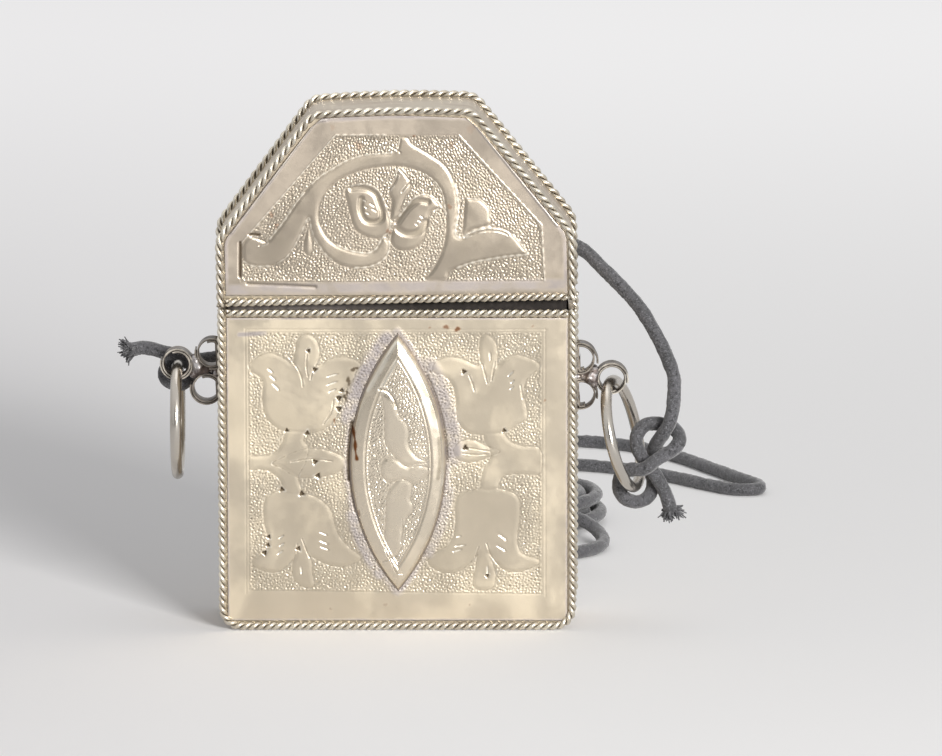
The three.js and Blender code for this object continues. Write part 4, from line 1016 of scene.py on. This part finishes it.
def lid_panel(material):
    inner, _ = even(rounded(moved_in(lid_corners(), PANEL_INSET, PANEL_INSET)), 0.2)
    outline = lid_place(np.stack([inner[:, 0], np.zeros(len(inner)), inner[:, 1]], 1))[:, [0, 2]]
    top = int(np.argmax(outline[:, 1]))
    left, right = outline[: top + 1], outline[top:][::-1]
    ceiling = outline[:, 1].max()

    def edge(side):
        return lambda z: float(np.interp(z, side[:, 1], side[:, 0]))

    def crown(x):
        return ceiling - 0.42 * abs(x / LID_HALF_TOP) ** 1.5

    z_low = float(outline[:, 1].min()) + 0.25
    rows_low = np.array([p for p in left if p[1] < 72.2])
    rows_high = np.array([p for p in right if p[1] < 72.2])
    rows_low = np.vstack([rows_low, [rows_low[-1][0] + 1.6, ceiling]])
    rows_high = np.vstack([rows_high, [rows_high[-1][0] - 1.6, ceiling]])
    x, z = row_grid(edge(rows_low), edge(rows_high), z_low, crown, PANEL_STEP)
    relief = Relief(x, z)
    relief.wear(0.06)
    relief.field(LID_FRAME, 0.05)
    relief.most("shade", 0.45 * inside(x, z, np.asarray(LID_FRAME, float)))
    relief.most("shade", 0.5 * smooth((51.2 + 0.02 * x - z) / 1.2))
    relief.shapes([LID_VINE] + LID_SHAPES, 0.06, edge=0.5, crown=0.03, round_to=1.2, shade=0.45,
                  struck=0.3)
    relief.channel([(-6.3, 63.1), (-5.2, 63.2), (-4, 63), (-3, 62.3), (-2.5, 61.1), (-2.1, 59.8),
                    (-2.2, 58.8), (-3.1, 58.4), (-4.3, 58.6), (-4.9, 59.5), (-5.1, 60.7),
                    (-5, 61.7)], 0.16, 0.4)
    relief.channel([(0.1, 58.4), (0.9, 59.6), (1.9, 60.7), (3, 61.4), (4.3, 61.3)], 0.12, 0.42)
    relief.channel([(4, 58.4), (3.4, 57.3), (2.3, 56.8), (1, 56.9), (0.2, 57.4)], 0.12, 0.5)
    relief.stipple(depth=0.045)
    for line in LID_LINES:
        relief.chased(line, 0.08, 0.1, 0.4, 0.5)
    for line in LID_NOTCHES:
        relief.notch(line, 0.1)
    for points, width in LID_STROKES:
        relief.stroke(points, width)
    relief.groove([(-22.05, 50.7), (-22, 55.5)], 0.3, 0.16, 1.0)
    relief.groove([(-20.6, 56.65), (-19.4, 56.6)], 0.25, 0.18, 1.0)
    relief.groove([(-21, 49.65), (-16, 49.45), (-11.5, 49.2)], 0.1, 0.2, 0.5)
    # a thin raised line with a painted highlight inside each upper side of the cap's outline
    for side in (outline[(outline[:, 0] < -10) & (outline[:, 1] > 57)],
                 outline[(outline[:, 0] > 10) & (outline[:, 1] > 58)]):
        inner_line = side + np.array([-0.16 * np.sign(side[:, 0].mean()), -0.14])
        relief.ridge(inner_line, 0.14, 0.14, 1.0)
    edge_patina(relief, outline, 0.5, 0.8)
    edge_patina(relief, [(-23.5, 48.8), (23.5, 49.6)], 0.8, 0.75)
    for spot in ((-5.3, 69.2, 0.5, 0.35), (2.4, 70.6, 0.16, 0.6), (7.7, 69.4, 0.3, 0.4),
                 (-1.2, 57.1, 0.28, 0.6), (7.4, 60.6, 0.3, 0.5), (-17.6, 59.4, 0.3, 0.5),
                 (-16.9, 57.9, 0.25, 0.5), (10.4, 71.6, 0.5, 0.25), (-9, 71.8, 0.3, 0.25)):
        relief.spot(*spot, "stain")
    return sheet_from_relief("lid_panel_chased", relief, PANEL_FACE_Y, PANEL_BACK_Y, material)


BOSS_SHAPES = [
    [(-2.3, 34.7), (-1.4, 34.5), (-0.6, 33.4), (-0.1, 32.3), (0.3, 31.0), (1.3, 29.8),
     (1.6, 28.5), (1.5, 27.2), (1.9, 26.1), (2.9, 25.0), (4.2, 24.3), (2.9, 24.1), (1.4, 23.8),
     (0.2, 24.6), (-0.9, 25.7), (-1.7, 27.1), (-1.8, 29.2), (-1.8, 31.3), (-2.0, 32.8)],
    [(-1.4, 25.0), (-0.1, 24.6), (1.4, 23.7), (3.1, 23.8), (4.8, 23.4), (4.7, 22.8), (3.5, 21.9),
     (2.4, 21.2), (0.9, 21.9), (-0.1, 21.6), (-1.4, 21.5), (-2.2, 22.5), (-2.3, 23.8),
     (-2.0, 24.6)],
    [(0.4, 21.9), (1.9, 21.4), (2.0, 20.5), (1.8, 19.1), (2.2, 18.0), (2.0, 17.1), (1.3, 16.3),
     (0.9, 15.3), (0.8, 13.6), (0.5, 12.0), (-0.4, 10.7), (-1.3, 10.7), (-1.7, 11.5),
     (-1.8, 13.6), (-1.7, 15.6), (-1.6, 18.1), (-1.4, 19.8), (-0.7, 21.0)],
]


def boss(material):
    rows, columns = int((BOSS_HIGH - BOSS_LOW) / 0.1), 136
    z_row = BOSS_LOW + np.linspace(0, 1, rows) * (BOSS_HIGH - BOSS_LOW)
    z = np.repeat(z_row[:, None], columns, 1)
    half = np.maximum(boss_half_width(z[:, :1]), 0.0) + 0.02
    x = BOSS_MIDDLE[0] + half * (2 * np.linspace(0, 1, columns)[None, :] - 1)
    relief = Relief(x, z)
    inset = BOSS_ARC - np.hypot(np.abs(x - BOSS_MIDDLE[0]) + (BOSS_ARC - BOSS_HALF_WIDTH),
                                z - BOSS_MIDDLE[1])
    rim = np.interp(inset, [0, 0.12, 0.4, 0.75, 1.9, 2.15, 3.4, 5, 6.9],
                    [0, 0.4, 0.85, 1.08, 1.3, 1.29, 1.34, 1.38, 1.4])
    relief.height += rim
    frame_line = np.exp(-((inset - 2.25) / 0.12) ** 2)
    relief.ground = smooth((inset - 2.35) / 0.3)
    relief.height -= 0.12 * frame_line + 0.12 * relief.ground
    relief.most("extra_grime", 0.35 * frame_line)
    relief.shapes(BOSS_SHAPES, 0.05)
    relief.stipple(0.37, 0.035, 0.12, 0.2)
    relief.chased([(-1.8, 11.9), (-0.9, 10), (-0.1, 8.4), (0.7, 8.3)], 0.05, 0.09, 0.5)
    relief.chased([(-2.1, 10), (-0.8, 10.5)], 0.05, 0.09, 0.4)
    relief.chased([(-2.5, 34.8), (-1.4, 34.5), (-0.4, 33.3), (0, 32.2)], 0.09, 0.16, 0.6, 0.5)
    relief.chased([(0.7, 16.2), (0.7, 14.6), (0.5, 12.8)])
    relief.channel([(-1.6, 34.1), (-0.8, 33.3), (-0.3, 32.3)], 0.03, 0.35, 0.7)
    relief.wear(0.03)
    rust = catmull([(-6.5, 29.9), (-6.2, 28.7), (-5.95, 27.4), (-5.9, 26), (-5.7, 24.8)], 0.1)
    gap, along = line_place(x, z, rust, 1.0)
    relief.most("stain", smooth(1.7 - gap / (0.17 + 0.07 * np.sin(3.1 * along + 4))))
    relief.spot(-6.5, 30.4, 0.22, 0.5, "stain", (0.6, 2.2))
    relief.spot(-5.4, 17, 0.2, 0.5, "stain", (0.6, 2))
    # painted reflections on the polished bevel: bright streaks and dark streaks
    for mask, line, width, strength in (
            ("bright", [(-0.2, 41.4), (-2.2, 37.8), (-4.1, 34.6)], 0.3, 0.9),
            ("bright", [(-0.1, 38.9), (-1.4, 36.4), (-2.5, 34.7)], 0.22, 1.0),
            ("bright", [(0.6, 40.6), (1.5, 38.2), (2.6, 35.9)], 0.5, 1.0),
            ("bright", [(3.3, 32.4), (4.1, 33.3), (4.3, 31.6)], 0.35, 1.0),
            ("bright", [(6.35, 21), (6.75, 24), (6.6, 27.5)], 0.12, 0.9),
            ("shade", [(-0.8, 41.3), (-3, 37.4), (-5, 33.6)], 0.28, 0.6),
            ("shade", [(0.3, 39.6), (-0.5, 38.1), (-2.1, 35.3)], 0.16, 0.7),
            ("shade", [(3.1, 36.2), (4.6, 33), (5.3, 30.8)], 0.42, 0.85),
            ("shade", [(1.6, 36.2), (3.4, 33.9)], 0.25, 0.5),
            ("shade", [(5.75, 22), (6.05, 24.5), (5.9, 27.7)], 0.3, 1.0)):
        gap = line_distance(x, z, catmull(line, 0.1), 3 * width)
        relief.most(mask, strength * np.exp(-(gap / width) ** 4))
    relief.most("patina", 0.9 * smooth(1.5 - inset / 0.3))
    return sheet_from_relief("centre_boss_chased", relief, PANEL_FACE_Y - 0.12,
                             PANEL_FACE_Y - 0.3, material)


# ---------------------------------------------------------------- twisted wire
def twisted_pair(line, y, lay, phase, sides=9, steps=14):
    """Two wires wound round each other along a line in a plane of constant y."""
    path, length = even(np.asarray(line, float), lay / steps)
    ahead = np.gradient(path, axis=0)
    ahead /= np.linalg.norm(ahead, axis=1)[:, None]
    inwards = np.stack([ahead[:, 1], np.zeros(len(ahead)), -ahead[:, 0]], 1)
    along = np.stack([ahead[:, 0], np.zeros(len(ahead)), ahead[:, 1]], 1)
    centre = np.stack([path[:, 0], np.full(len(path), y), path[:, 1]], 1)
    s = np.linspace(0, length, len(path))
    parts, grooves = [], []
    for k in (0, 1):
        theta = -TAU * s / lay + k * math.pi + phase
        out = np.cos(theta)[:, None] * inwards + np.sin(theta)[:, None] * np.array([0, 1.0, 0])
        core = centre + out * ROPE_WIRE
        turn = np.cross(along, out)
        tangent = along - TAU * ROPE_WIRE / lay * turn
        tangent /= np.linalg.norm(tangent, axis=1)[:, None]
        side = np.cross(tangent, out)
        parts.append(skin(tube(core, out, side, ROPE_WIRE * 1.02, sides)))
        depth = 0.5 - 0.5 * np.cos(np.arange(sides) * TAU / sides)
        grooves.append(np.append(np.tile(depth, len(core)), (0.5, 0.5)))
    return join(parts), np.concatenate(grooves)


def edging(name, corners, inset, y, seam_height, body, material, lid=False):
    up = 1 if seam_height > corners[1][1] else -1
    end = seam_height + up * (EDGE_WIRE - 0.15) / 2
    pieces = {
        "edge": rounded(moved_in(corners, inset, end), 5),
        "seam": np.array([(side * (HALF_WIDTH - PANEL_INSET), seam_height) for side in (-1, 1)]),
    }
    for kind, line in pieces.items():
        lay = LID_EDGE_LAY if lid and kind == "edge" else LAY
        (verts, faces), groove = twisted_pair(line, y, lay, 0.7 if kind == "seam" else 0)
        verts = lid_place(verts) if lid else verts
        obj = mesh_object(f"{name}_{kind}_twist", (verts, faces), material)
        attribute(obj, "groove", groove)
        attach(obj, body)
        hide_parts(f"{name}_{kind}_wire")


# ---------------------------------------------------------------- rings
def rolled_ring(name, centre, flat, side, body, node, material):
    """A strip wound about twice, with slightly thickened edges, flat where it meets the case."""
    width, strip = ROLL_WIDTH, ROLL_STRIP
    count = int(ROLL_TURNS * ROLL_STEPS)
    section = [(-width / 2, 0.02), (-width / 2, strip - 0.02), (-width / 2 + 0.1, strip),
               (-width / 2 + 0.3, strip - 0.04), (width / 2 - 0.3, strip - 0.04),
               (width / 2 - 0.1, strip), (width / 2, strip - 0.02), (width / 2, 0.02),
               (width / 2 - 0.12, 0), (-width / 2 + 0.12, 0)]
    springs_open = side > 0 and node.endswith("upper_rolled_ring")
    rings = np.zeros((count + 1, len(section), 3))
    for k in range(count + 1):
        angle = ROLL_START - TAU * k / ROLL_STEPS
        back = (count - k) / ROLL_STEPS * ROLL_PITCH
        flare = 0.25 * smooth((k - count + 7) / 7) if springs_open else 0
        for j, (across, depth) in enumerate(section):
            inner = back + (strip - depth)
            face = (flat - inner) / math.cos(angle) if math.cos(angle) > 0 else 1e9
            reach = min(ROLL_OUTER - inner + flare, face)
            rings[k, j] = (centre[0] - side * reach * math.cos(angle), across,
                           centre[1] - side * reach * math.sin(angle))
    verts, faces = skin(rings)
    obj = mesh_object(name, (verts, faces), material, smooth=False)
    rubbed = 0.95 if node.endswith("outer_rolled_ring") else 0.4
    lips = [rubbed * (abs(across) > width / 2 - 0.15 and depth > 0.1) for across, depth in section]
    attribute(obj, "lip", np.append(np.tile(lips, count + 1), (0, 0)))
    finish_solid(obj)
    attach(obj, body)
    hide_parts(node)


def finish_solid(obj, angle=40):
    """Normals out, and smooth shading with creases."""
    bm = bmesh.new()
    bm.from_mesh(obj.data)
    bmesh.ops.remove_doubles(bm, verts=bm.verts, dist=1e-7)
    bmesh.ops.recalc_face_normals(bm, faces=bm.faces)
    limit = math.radians(angle)
    for edge in bm.edges:
        edge.smooth = not (len(edge.link_faces) == 2 and edge.calc_face_angle(0) > limit)
    for face in bm.faces:
        face.smooth = True
    bm.to_mesh(obj.data)
    bm.free()


def wire_ring(name, pivot, yaw, tilt, side, body, node, material):
    """A plain wire ring that hangs from its pivot, with the soldered seam of its two ends."""
    steps, sides = 120, 20
    around = np.arange(steps) * TAU / steps
    theta = np.arange(sides) * TAU / sides
    rings = np.zeros((steps, sides, 3))
    for k, a in enumerate(around):
        radial = np.array([0, math.sin(a), math.cos(a)])
        seam = math.exp(-((((a - 2.2 + math.pi) % TAU) - math.pi) / 0.03) ** 2)
        wire = RING_WIRE / 2 * (1 - 0.05 * seam + 0.006 * math.sin(3 * a) + 0.004 * math.sin(7 * a))
        for j, t in enumerate(theta):
            rings[k, j] = (wire * math.sin(t), *(radial[1:] * (RING_RADIUS + wire * math.cos(t))))
    rings[..., 2] -= RING_RADIUS
    swing = -side * tilt
    x, z = rings[..., 0].copy(), rings[..., 2].copy()
    rings[..., 0] = x * math.cos(swing) + z * math.sin(swing)
    rings[..., 2] = -x * math.sin(swing) + z * math.cos(swing)
    x, y = rings[..., 0].copy(), rings[..., 1].copy()
    rings[..., 0] = x * math.cos(-yaw) - y * math.sin(-yaw)
    rings[..., 1] = x * math.sin(-yaw) + y * math.cos(-yaw)
    rings += np.array(pivot)
    obj = mesh_object(name, skin(rings, closed=True), material)
    finish_solid(obj, 80)
    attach(obj, body)
    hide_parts(node)


def solder_lump(name, centres, body, node, material):
    """Solder run into the hollow between three rolled rings: blobs joined by remeshing."""
    middle = np.mean(centres, axis=0)
    parts = []
    spots = [(middle, 1.1, 1.1)]
    for i in range(3):
        a, b = centres[i], centres[(i + 1) % 3]
        half = (a + b) / 2
        spots.append((half + (middle - half) * 0.3, 0.72, 1.15))
        spots.append((half + (middle - half) * 0.7, 0.85, 1.15))
    # the run between the two rings that touch the case reaches the case
    half = (centres[0] + centres[1]) / 2
    spots.append((half + (half - middle) * 0.6, 0.7, 1.15))
    for (x, z), radius, deep in spots:
        for y in (-0.75, 0, 0.8):
            bpy.ops.mesh.primitive_ico_sphere_add(subdivisions=3, radius=radius * MM)
            ball = bpy.context.object
            ball.location = (x * MM, y * deep * MM, z * MM)
            ball.scale = (1, 1.15, 1)
            parts.append(ball)
    bpy.ops.object.select_all(action="DESELECT")
    for ball in parts:
        ball.select_set(True)
    bpy.context.view_layer.objects.active = parts[0]
    bpy.ops.object.join()
    obj = bpy.context.object
    bpy.ops.object.transform_apply(location=True, rotation=True, scale=True)
    obj.name = name
    remesh = obj.modifiers.new("remesh", "REMESH")
    remesh.mode, remesh.voxel_size = "VOXEL", 0.14 * MM
    bpy.ops.object.modifier_apply(modifier=remesh.name)
    co = np.array([v.co for v in obj.data.vertices])
    wobble = sum(np.sin(co @ rng.normal(0, 2600, 3) + rng.uniform(0, TAU)) for _ in range(6))
    normals = np.array([v.normal for v in obj.data.vertices])
    co += normals * (wobble * 0.035 * MM)[:, None]
    obj.data.vertices.foreach_set("co", co.ravel())
    obj.data.update()
    obj.data.materials.clear()
    obj.data.materials.append(material)
    obj.data.polygons.foreach_set("use_smooth", [True] * len(obj.data.polygons))
    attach(obj, body)
    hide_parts(node)


# ---------------------------------------------------------------- cord
def right_foot():
    down = np.array([math.cos(RIGHT_YAW) * math.sin(RIGHT_TILT),
                     -math.sin(RIGHT_YAW) * math.sin(RIGHT_TILT), -math.cos(RIGHT_TILT)])
    return np.array(RIGHT_RING_PIVOT) + 2 * RING_RADIUS * down


def left_knot():
    angle = math.radians(38)
    out = np.array([0, math.sin(angle), math.cos(angle)])
    along = np.array([0, math.cos(angle), -math.sin(angle)])
    base = np.array(LEFT_RING_PIVOT) - np.array([0, 0, RING_RADIUS])

    def at(x, away, down):
        return base + np.array([x, 0, 0]) + out * (RING_RADIUS + away) + along * down

    points = [at(4.6, 3.7, 2.9), at(3.2, 3.1, 2.2), at(1.6, 2.5, 1.5)]
    for k in range(11):
        around = math.pi / 2 + TAU * k / 10
        points.append(at(2.05 * math.cos(around), 2.05 * math.sin(around), 2.4 * (0.5 - k / 10)))
    points += [at(-1.9, 2.3, -1.4), at(-3.7, 2.8, -1.6), at(-5.4, 2.9, -1.7), at(-6.9, 2.5, -1.9)]
    return points


def coil_point(turn):
    climbed = min(max((turn - COIL_IN_TURNS) / 0.5, 0), 1)
    radius = COIL_RADIUS - COIL_PITCH * min(turn, COIL_TURNS - turn)
    angle = math.radians(180) + TAU * turn
    return (COIL_CENTRE[0] + radius * math.cos(angle), COIL_CENTRE[1] + radius * math.sin(angle),
            COIL_FLOOR + CORD / 2 + COIL_PITCH * climbed)


def cord_paths():
    foot = right_foot()
    knot = [foot + np.array(p) for p in RIGHT_KNOT]
    coil_turns = np.arange(0, TIE_TURN, 1 / 24)
    first = knot[::-1] + [np.array(p, float) for p in RIGHT_ROUTE]
    first += [np.array(coil_point(t)) for t in coil_turns] + [np.array(coil_point(TIE_TURN))]
    second = [np.array(coil_point(t)) for t in np.append(np.arange(TIE_TURN, COIL_TURNS, 1 / 24),
                                                         COIL_TURNS)]
    second += [np.array(p, float) for p in LEFT_ROUTE] + left_knot()
    return catmull(first, 0.4), catmull(second, 0.4)


def cord_mesh(path, step=0.32, sides=20):
    """A round cord, laid from several fine plies, a little uneven."""
    path, length = even(path, step)
    _, normals, binormals = frames_along(path)
    s = np.linspace(0, length, len(path))[:, None]
    around = np.arange(sides) * TAU / sides
    ply = 0.5 + 0.5 * np.cos(7 * around - TAU * s / 4.4)
    cross = 0.5 + 0.5 * np.cos(7 * around + TAU * s / 4.4)
    uneven = (0.02 * np.sin(s * 0.9 + 1.3) + 0.02 * np.sin(s * 2.3 + 2 * around)
              + rng.normal(0, 0.02, (len(path), sides)))
    radius = CORD / 2 * (0.93 + 0.075 * np.maximum(ply, cross) ** 2 + uneven)
    rings = tube(path, normals, binormals, radius, sides)
    rings[..., 2] = np.maximum(rings[..., 2], 0.02)
    return skin(rings), path, length


def frayed_end(name, tip, way, body, material, count=130):
    """The cut end of a cord, opened into short splayed strands."""
    way = np.asarray(way, float) / np.linalg.norm(way)
    side = np.cross(way, [0, 1.0, 0.3])
    side /= np.linalg.norm(side)
    up = np.cross(way, side)
    parts = []
    for _ in range(count):
        spread = math.sqrt(rng.uniform(0, 1)) * 0.85
        turn = rng.uniform(0, TAU)
        root = np.asarray(tip) + spread * (side * math.cos(turn) + up * math.sin(turn)) - way * 0.9
        splay = side * math.cos(turn) + up * math.sin(turn)
        reach = rng.uniform(0.9, 2.1)
        bend = rng.normal(0, 0.3, 3)
        points = [root, root + way * reach * 0.45 + splay * 0.1 * spread,
                  root + way * reach * 0.8 + splay * 0.6 * spread + bend * 0.5,
                  root + way * reach + splay * 0.95 * spread + bend]
        line, _ = even(catmull(points, 0.15), 0.22)
        _, n, b = frames_along(line)
        taper = np.linspace(1, 0.55, len(line))[:, None] * rng.uniform(0.12, 0.2)
        parts.append(skin(tube(line, n, b, taper, 6)))
    obj = mesh_object(name, join(parts), material)
    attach(obj, body)
    return obj


def coil_tie(material):
    """A thread wound a few times round the coil's bundle of turns."""
    a = math.radians(TIE_PLACE_DEG)
    out = np.array([math.cos(a), math.sin(a), 0])
    across = np.array([-math.sin(a), math.cos(a), 0])
    turns = [coil_point(turn) for turn in np.arange(TIE_TURN % 1, COIL_TURNS, 1)]
    bundle = np.array([(math.dist(p[:2], COIL_CENTRE), p[2]) for p in turns])
    angle = np.linspace(0, TAU, 60, endpoint=False)
    ways = np.stack([np.cos(angle), np.sin(angle)], axis=1)
    touched = bundle[np.argmax(ways @ bundle.T, axis=1)]
    r, z = (touched + ways * (CORD / 2 + TIE_THREAD)).T
    line = np.array([*COIL_CENTRE, 0]) + out * r[:, None]
    line[:, 2] += np.maximum(z, 0.3)
    parts = []
    for k in range(TIE_WINDINGS):
        path = line + across * (-0.75 + 0.5 * k)
        _, n, b = frames_along(path, closed=True)
        parts.append(skin(tube(path, n, b, TIE_THREAD, 8), closed=True))
    obj = mesh_object("coil_tie_thread", join(parts), material)
    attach(obj, "case")
    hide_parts("coil_tie")
    return obj


def make_cords(material, tie_material):
    first, second = cord_paths()
    tie = coil_tie(tie_material)
    (verts, faces), line, length = cord_mesh(first)
    cord_a = mesh_object("cord_right", (verts, faces), material)
    tail_a = frayed_end("cord_right_tail", line[0], line[0] - line[3], "right_ring", material)
    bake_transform(cord_a)
    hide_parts("right_knot", "cord_right_neck", "cord_far_run", "cord_coil")
    (verts, faces), line2, length2 = cord_mesh(second)
    cord_b = mesh_object("cord_left", (verts, faces), material)
    tail_b = frayed_end("cord_left_tail", line2[-1], line2[-1] - line2[-4], "left_ring", material)
    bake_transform(cord_b)
    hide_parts("left_knot", "cord_left_neck", "cord_left_run")
    print(f"cord lengths {length:.0f} and {length2:.0f} mm")


# ---------------------------------------------------------------- stage
def background_rays(n):
    """1 for what the camera sees straight or in a reflection, 0 for light on the object."""
    rays = n.add("ShaderNodeLightPath").outputs
    return n.math("MAXIMUM", rays["Is Camera Ray"], rays["Is Glossy Ray"])


def make_stage():
    """A pale floor, with a little painted shade towards the left, darker in front out of view, and
    a painted glow for the camera and reflections that grows far behind the object.
    """
    n = Nodes("floor")
    place = n.add("ShaderNodeTexCoord").outputs["Object"]
    parts = n.add("ShaderNodeSeparateXYZ", {"Vector": place}).outputs
    # painted shade: a little darker towards the left
    colour = n.mix(n.ramp(parts["X"], -0.09, 0.03), (0.83, 0.82, 0.83), (0.87, 0.865, 0.87))
    # darker in front, out of the camera's view
    colour = n.mix(n.ramp(parts["Y"], -0.38, -0.25), (0.42, 0.42, 0.42), colour)
    # painted light: a glow that the camera and reflections see, stronger far behind
    glow = n.ramp(parts["Y"], -0.05, 0.75, FLOOR_GLOW_NEAR, FLOOR_GLOW_FAR)
    n.finish(Base_Color=colour, Roughness=0.95, Emission_Color=(1, 0.995, 1, 1),
             Emission_Strength=n.math("MULTIPLY", glow, background_rays(n)),
             **{"Specular_IOR_Level": 0.0})
    verts = [(x * FLOOR_HALF, y * FLOOR_HALF, 0) for y in (-1, 1) for x in (-1, 1)]
    floor = new_object("floor", verts, [(0, 1, 3, 2)], n.material, scale=1)


def area_light(name, azimuth, elevation, distance, size, power, colour=(1, 1, 1)):
    """A soft lamp; azimuth 0 is straight in front of the object, and 90 to its right."""
    light = bpy.data.lights.new(name, "AREA")
    light.shape = "RECTANGLE"
    light.size, light.size_y = size
    light.energy = power
    light.color = colour
    turn, rise = math.radians(azimuth), math.radians(elevation)
    target = Vector((0, 0, 0.03))
    way = Vector((math.sin(turn) * math.cos(rise), -math.cos(turn) * math.cos(rise),
                  math.sin(rise)))
    obj = bpy.data.objects.new(name, light)
    obj.location = target + way * distance
    obj.rotation_euler = (-way).to_track_quat("-Z", "Y").to_euler()
    bpy.context.scene.collection.objects.link(obj)


def make_lights():
    """A light tent: pale all round, brighter overhead, with the dark opening for the camera."""
    world = bpy.data.worlds.new("studio")
    bpy.context.scene.world = world
    n = Nodes("studio", world)
    way = n.add("ShaderNodeTexCoord").outputs["Generated"]
    up = n.add("ShaderNodeSeparateXYZ", {"Vector": way}).outputs["Z"]
    height = n.add("ShaderNodeMapRange", {"Value": up, "From Min": -0.1, "From Max": 0.8,
                                          "To Min": 0.62, "To Max": 1.0}).outputs["Result"]
    ahead = n.add("ShaderNodeVectorMath", {0: way, 1: (0.0, -0.97, 0.24)},
                  operation="DOT_PRODUCT").outputs["Value"]
    level = n.math("MULTIPLY", height, n.ramp(ahead, 0.88, 0.985, 1.0, 0.12))
    strength = n.ramp(background_rays(n), 0, 1, TENT_LIGHT, TENT_GLOW)
    background = n.tree.nodes["Background"]
    n.put(background.inputs["Color"], level)
    n.put(background.inputs["Strength"], strength)
    area_light("key", *KEY_PLACE, KEY_SIZE, KEY_POWER, (1, 0.99, 0.97))
    area_light("top", *TOP_PLACE, TOP_SIZE, TOP_POWER)


def main():
    make_camera()
    cord_material = waxed_cord("waxed_cord")
    make_cords(cord_material, waxed_cord("tie_thread", 0.03))
    make_stage()
    make_lights()

    chased = silver("chased_body", (0.65, 0.57, 0.45), (0.61, 0.53, 0.39), masks=True)
    chased_lid = silver("chased_lid", (0.52, 0.45, 0.37), (0.44, 0.38, 0.31), patches=0.7,
                        masks=True)
    boss_look = silver("chased_boss", (0.72, 0.64, 0.52), (0.66, 0.57, 0.44), (0.22, 0.4),
                       masks=True)
    plain = silver("plain_sheet", (0.7, 0.61, 0.47), (0.5, 0.42, 0.32), patches=0.6)
    band = silver("band_strip", (0.62, 0.54, 0.43), (0.38, 0.31, 0.25), (0.35, 0.55), patches=0.8)
    dark = collar_look()
    rolled = rolled_silver()
    polished = silver("ring_wire", (0.56, 0.525, 0.475), (0.36, 0.31, 0.26), (0.2, 0.32),
                      patches=0.7, scratch=0.15)
    solder = solder_look()
    twist = wire_silver()

    for obj, body, node, slot in (
            (body_panel(chased), "case", "body_front_panel", "body_sheet"),
            (lid_panel(chased_lid), "cap", "lid_front_panel", "lid_sheet"),
            (boss(boss_look), "case", "centre_boss", "boss_sheet")):
        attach(obj, body)
        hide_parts(node)

    seam_body, seam_lid = BODY_HEIGHT - EDGE_WIRE / 2, EDGE_WIRE / 2
    half = EDGE_WIRE / 2
    edging("body_front", body_corners(), half, -EDGE_Y, seam_body, "case", twist)
    edging("body_back", body_corners(BACK_OUTSET), half, EDGE_Y, seam_body, "case", twist)
    edging("lid_front", lid_corners(), half, -EDGE_Y, seam_lid, "cap", twist, lid=True)
    edging("lid_back", lid_corners(), half - BACK_OUTSET, EDGE_Y, seam_lid, "cap", twist, lid=True)

    for side_name, (side, *places) in ROLLS.items():
        for which, (x, z) in zip(("upper", "lower", "outer"), places):
            flat = NO_SEAT if which == "outer" else x - ROLL_SEAT
            rolled_ring(f"{side_name}_{which}_roll", (side * x, z), flat, side, "case",
                        f"{side_name}_{which}_rolled_ring", rolled)
        centres = [np.array([side * x, z]) for x, z in places]
        solder_lump(f"{side_name}_solder_run", centres, "case", f"{side_name}_ring_solder", solder)
    wire_ring("left_wire_ring", LEFT_RING_PIVOT, 0, 0, -1, "left_ring", "left_hanging_ring",
              polished)
    wire_ring("right_wire_ring", RIGHT_RING_PIVOT, RIGHT_YAW, RIGHT_TILT, 1, "right_ring",
              "right_hanging_ring", polished)

    looks = {"body_band": band, "lid_band": band, "body_front_wall": plain,
             "body_back_wall": plain, "lid_front_wall": plain, "lid_back_wall": plain,
             "lid_collar": dark}
    for node, look in looks.items():
        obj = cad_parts[node]
        for slot_index in range(len(obj.material_slots)):
            obj.material_slots[slot_index].material = look


main()
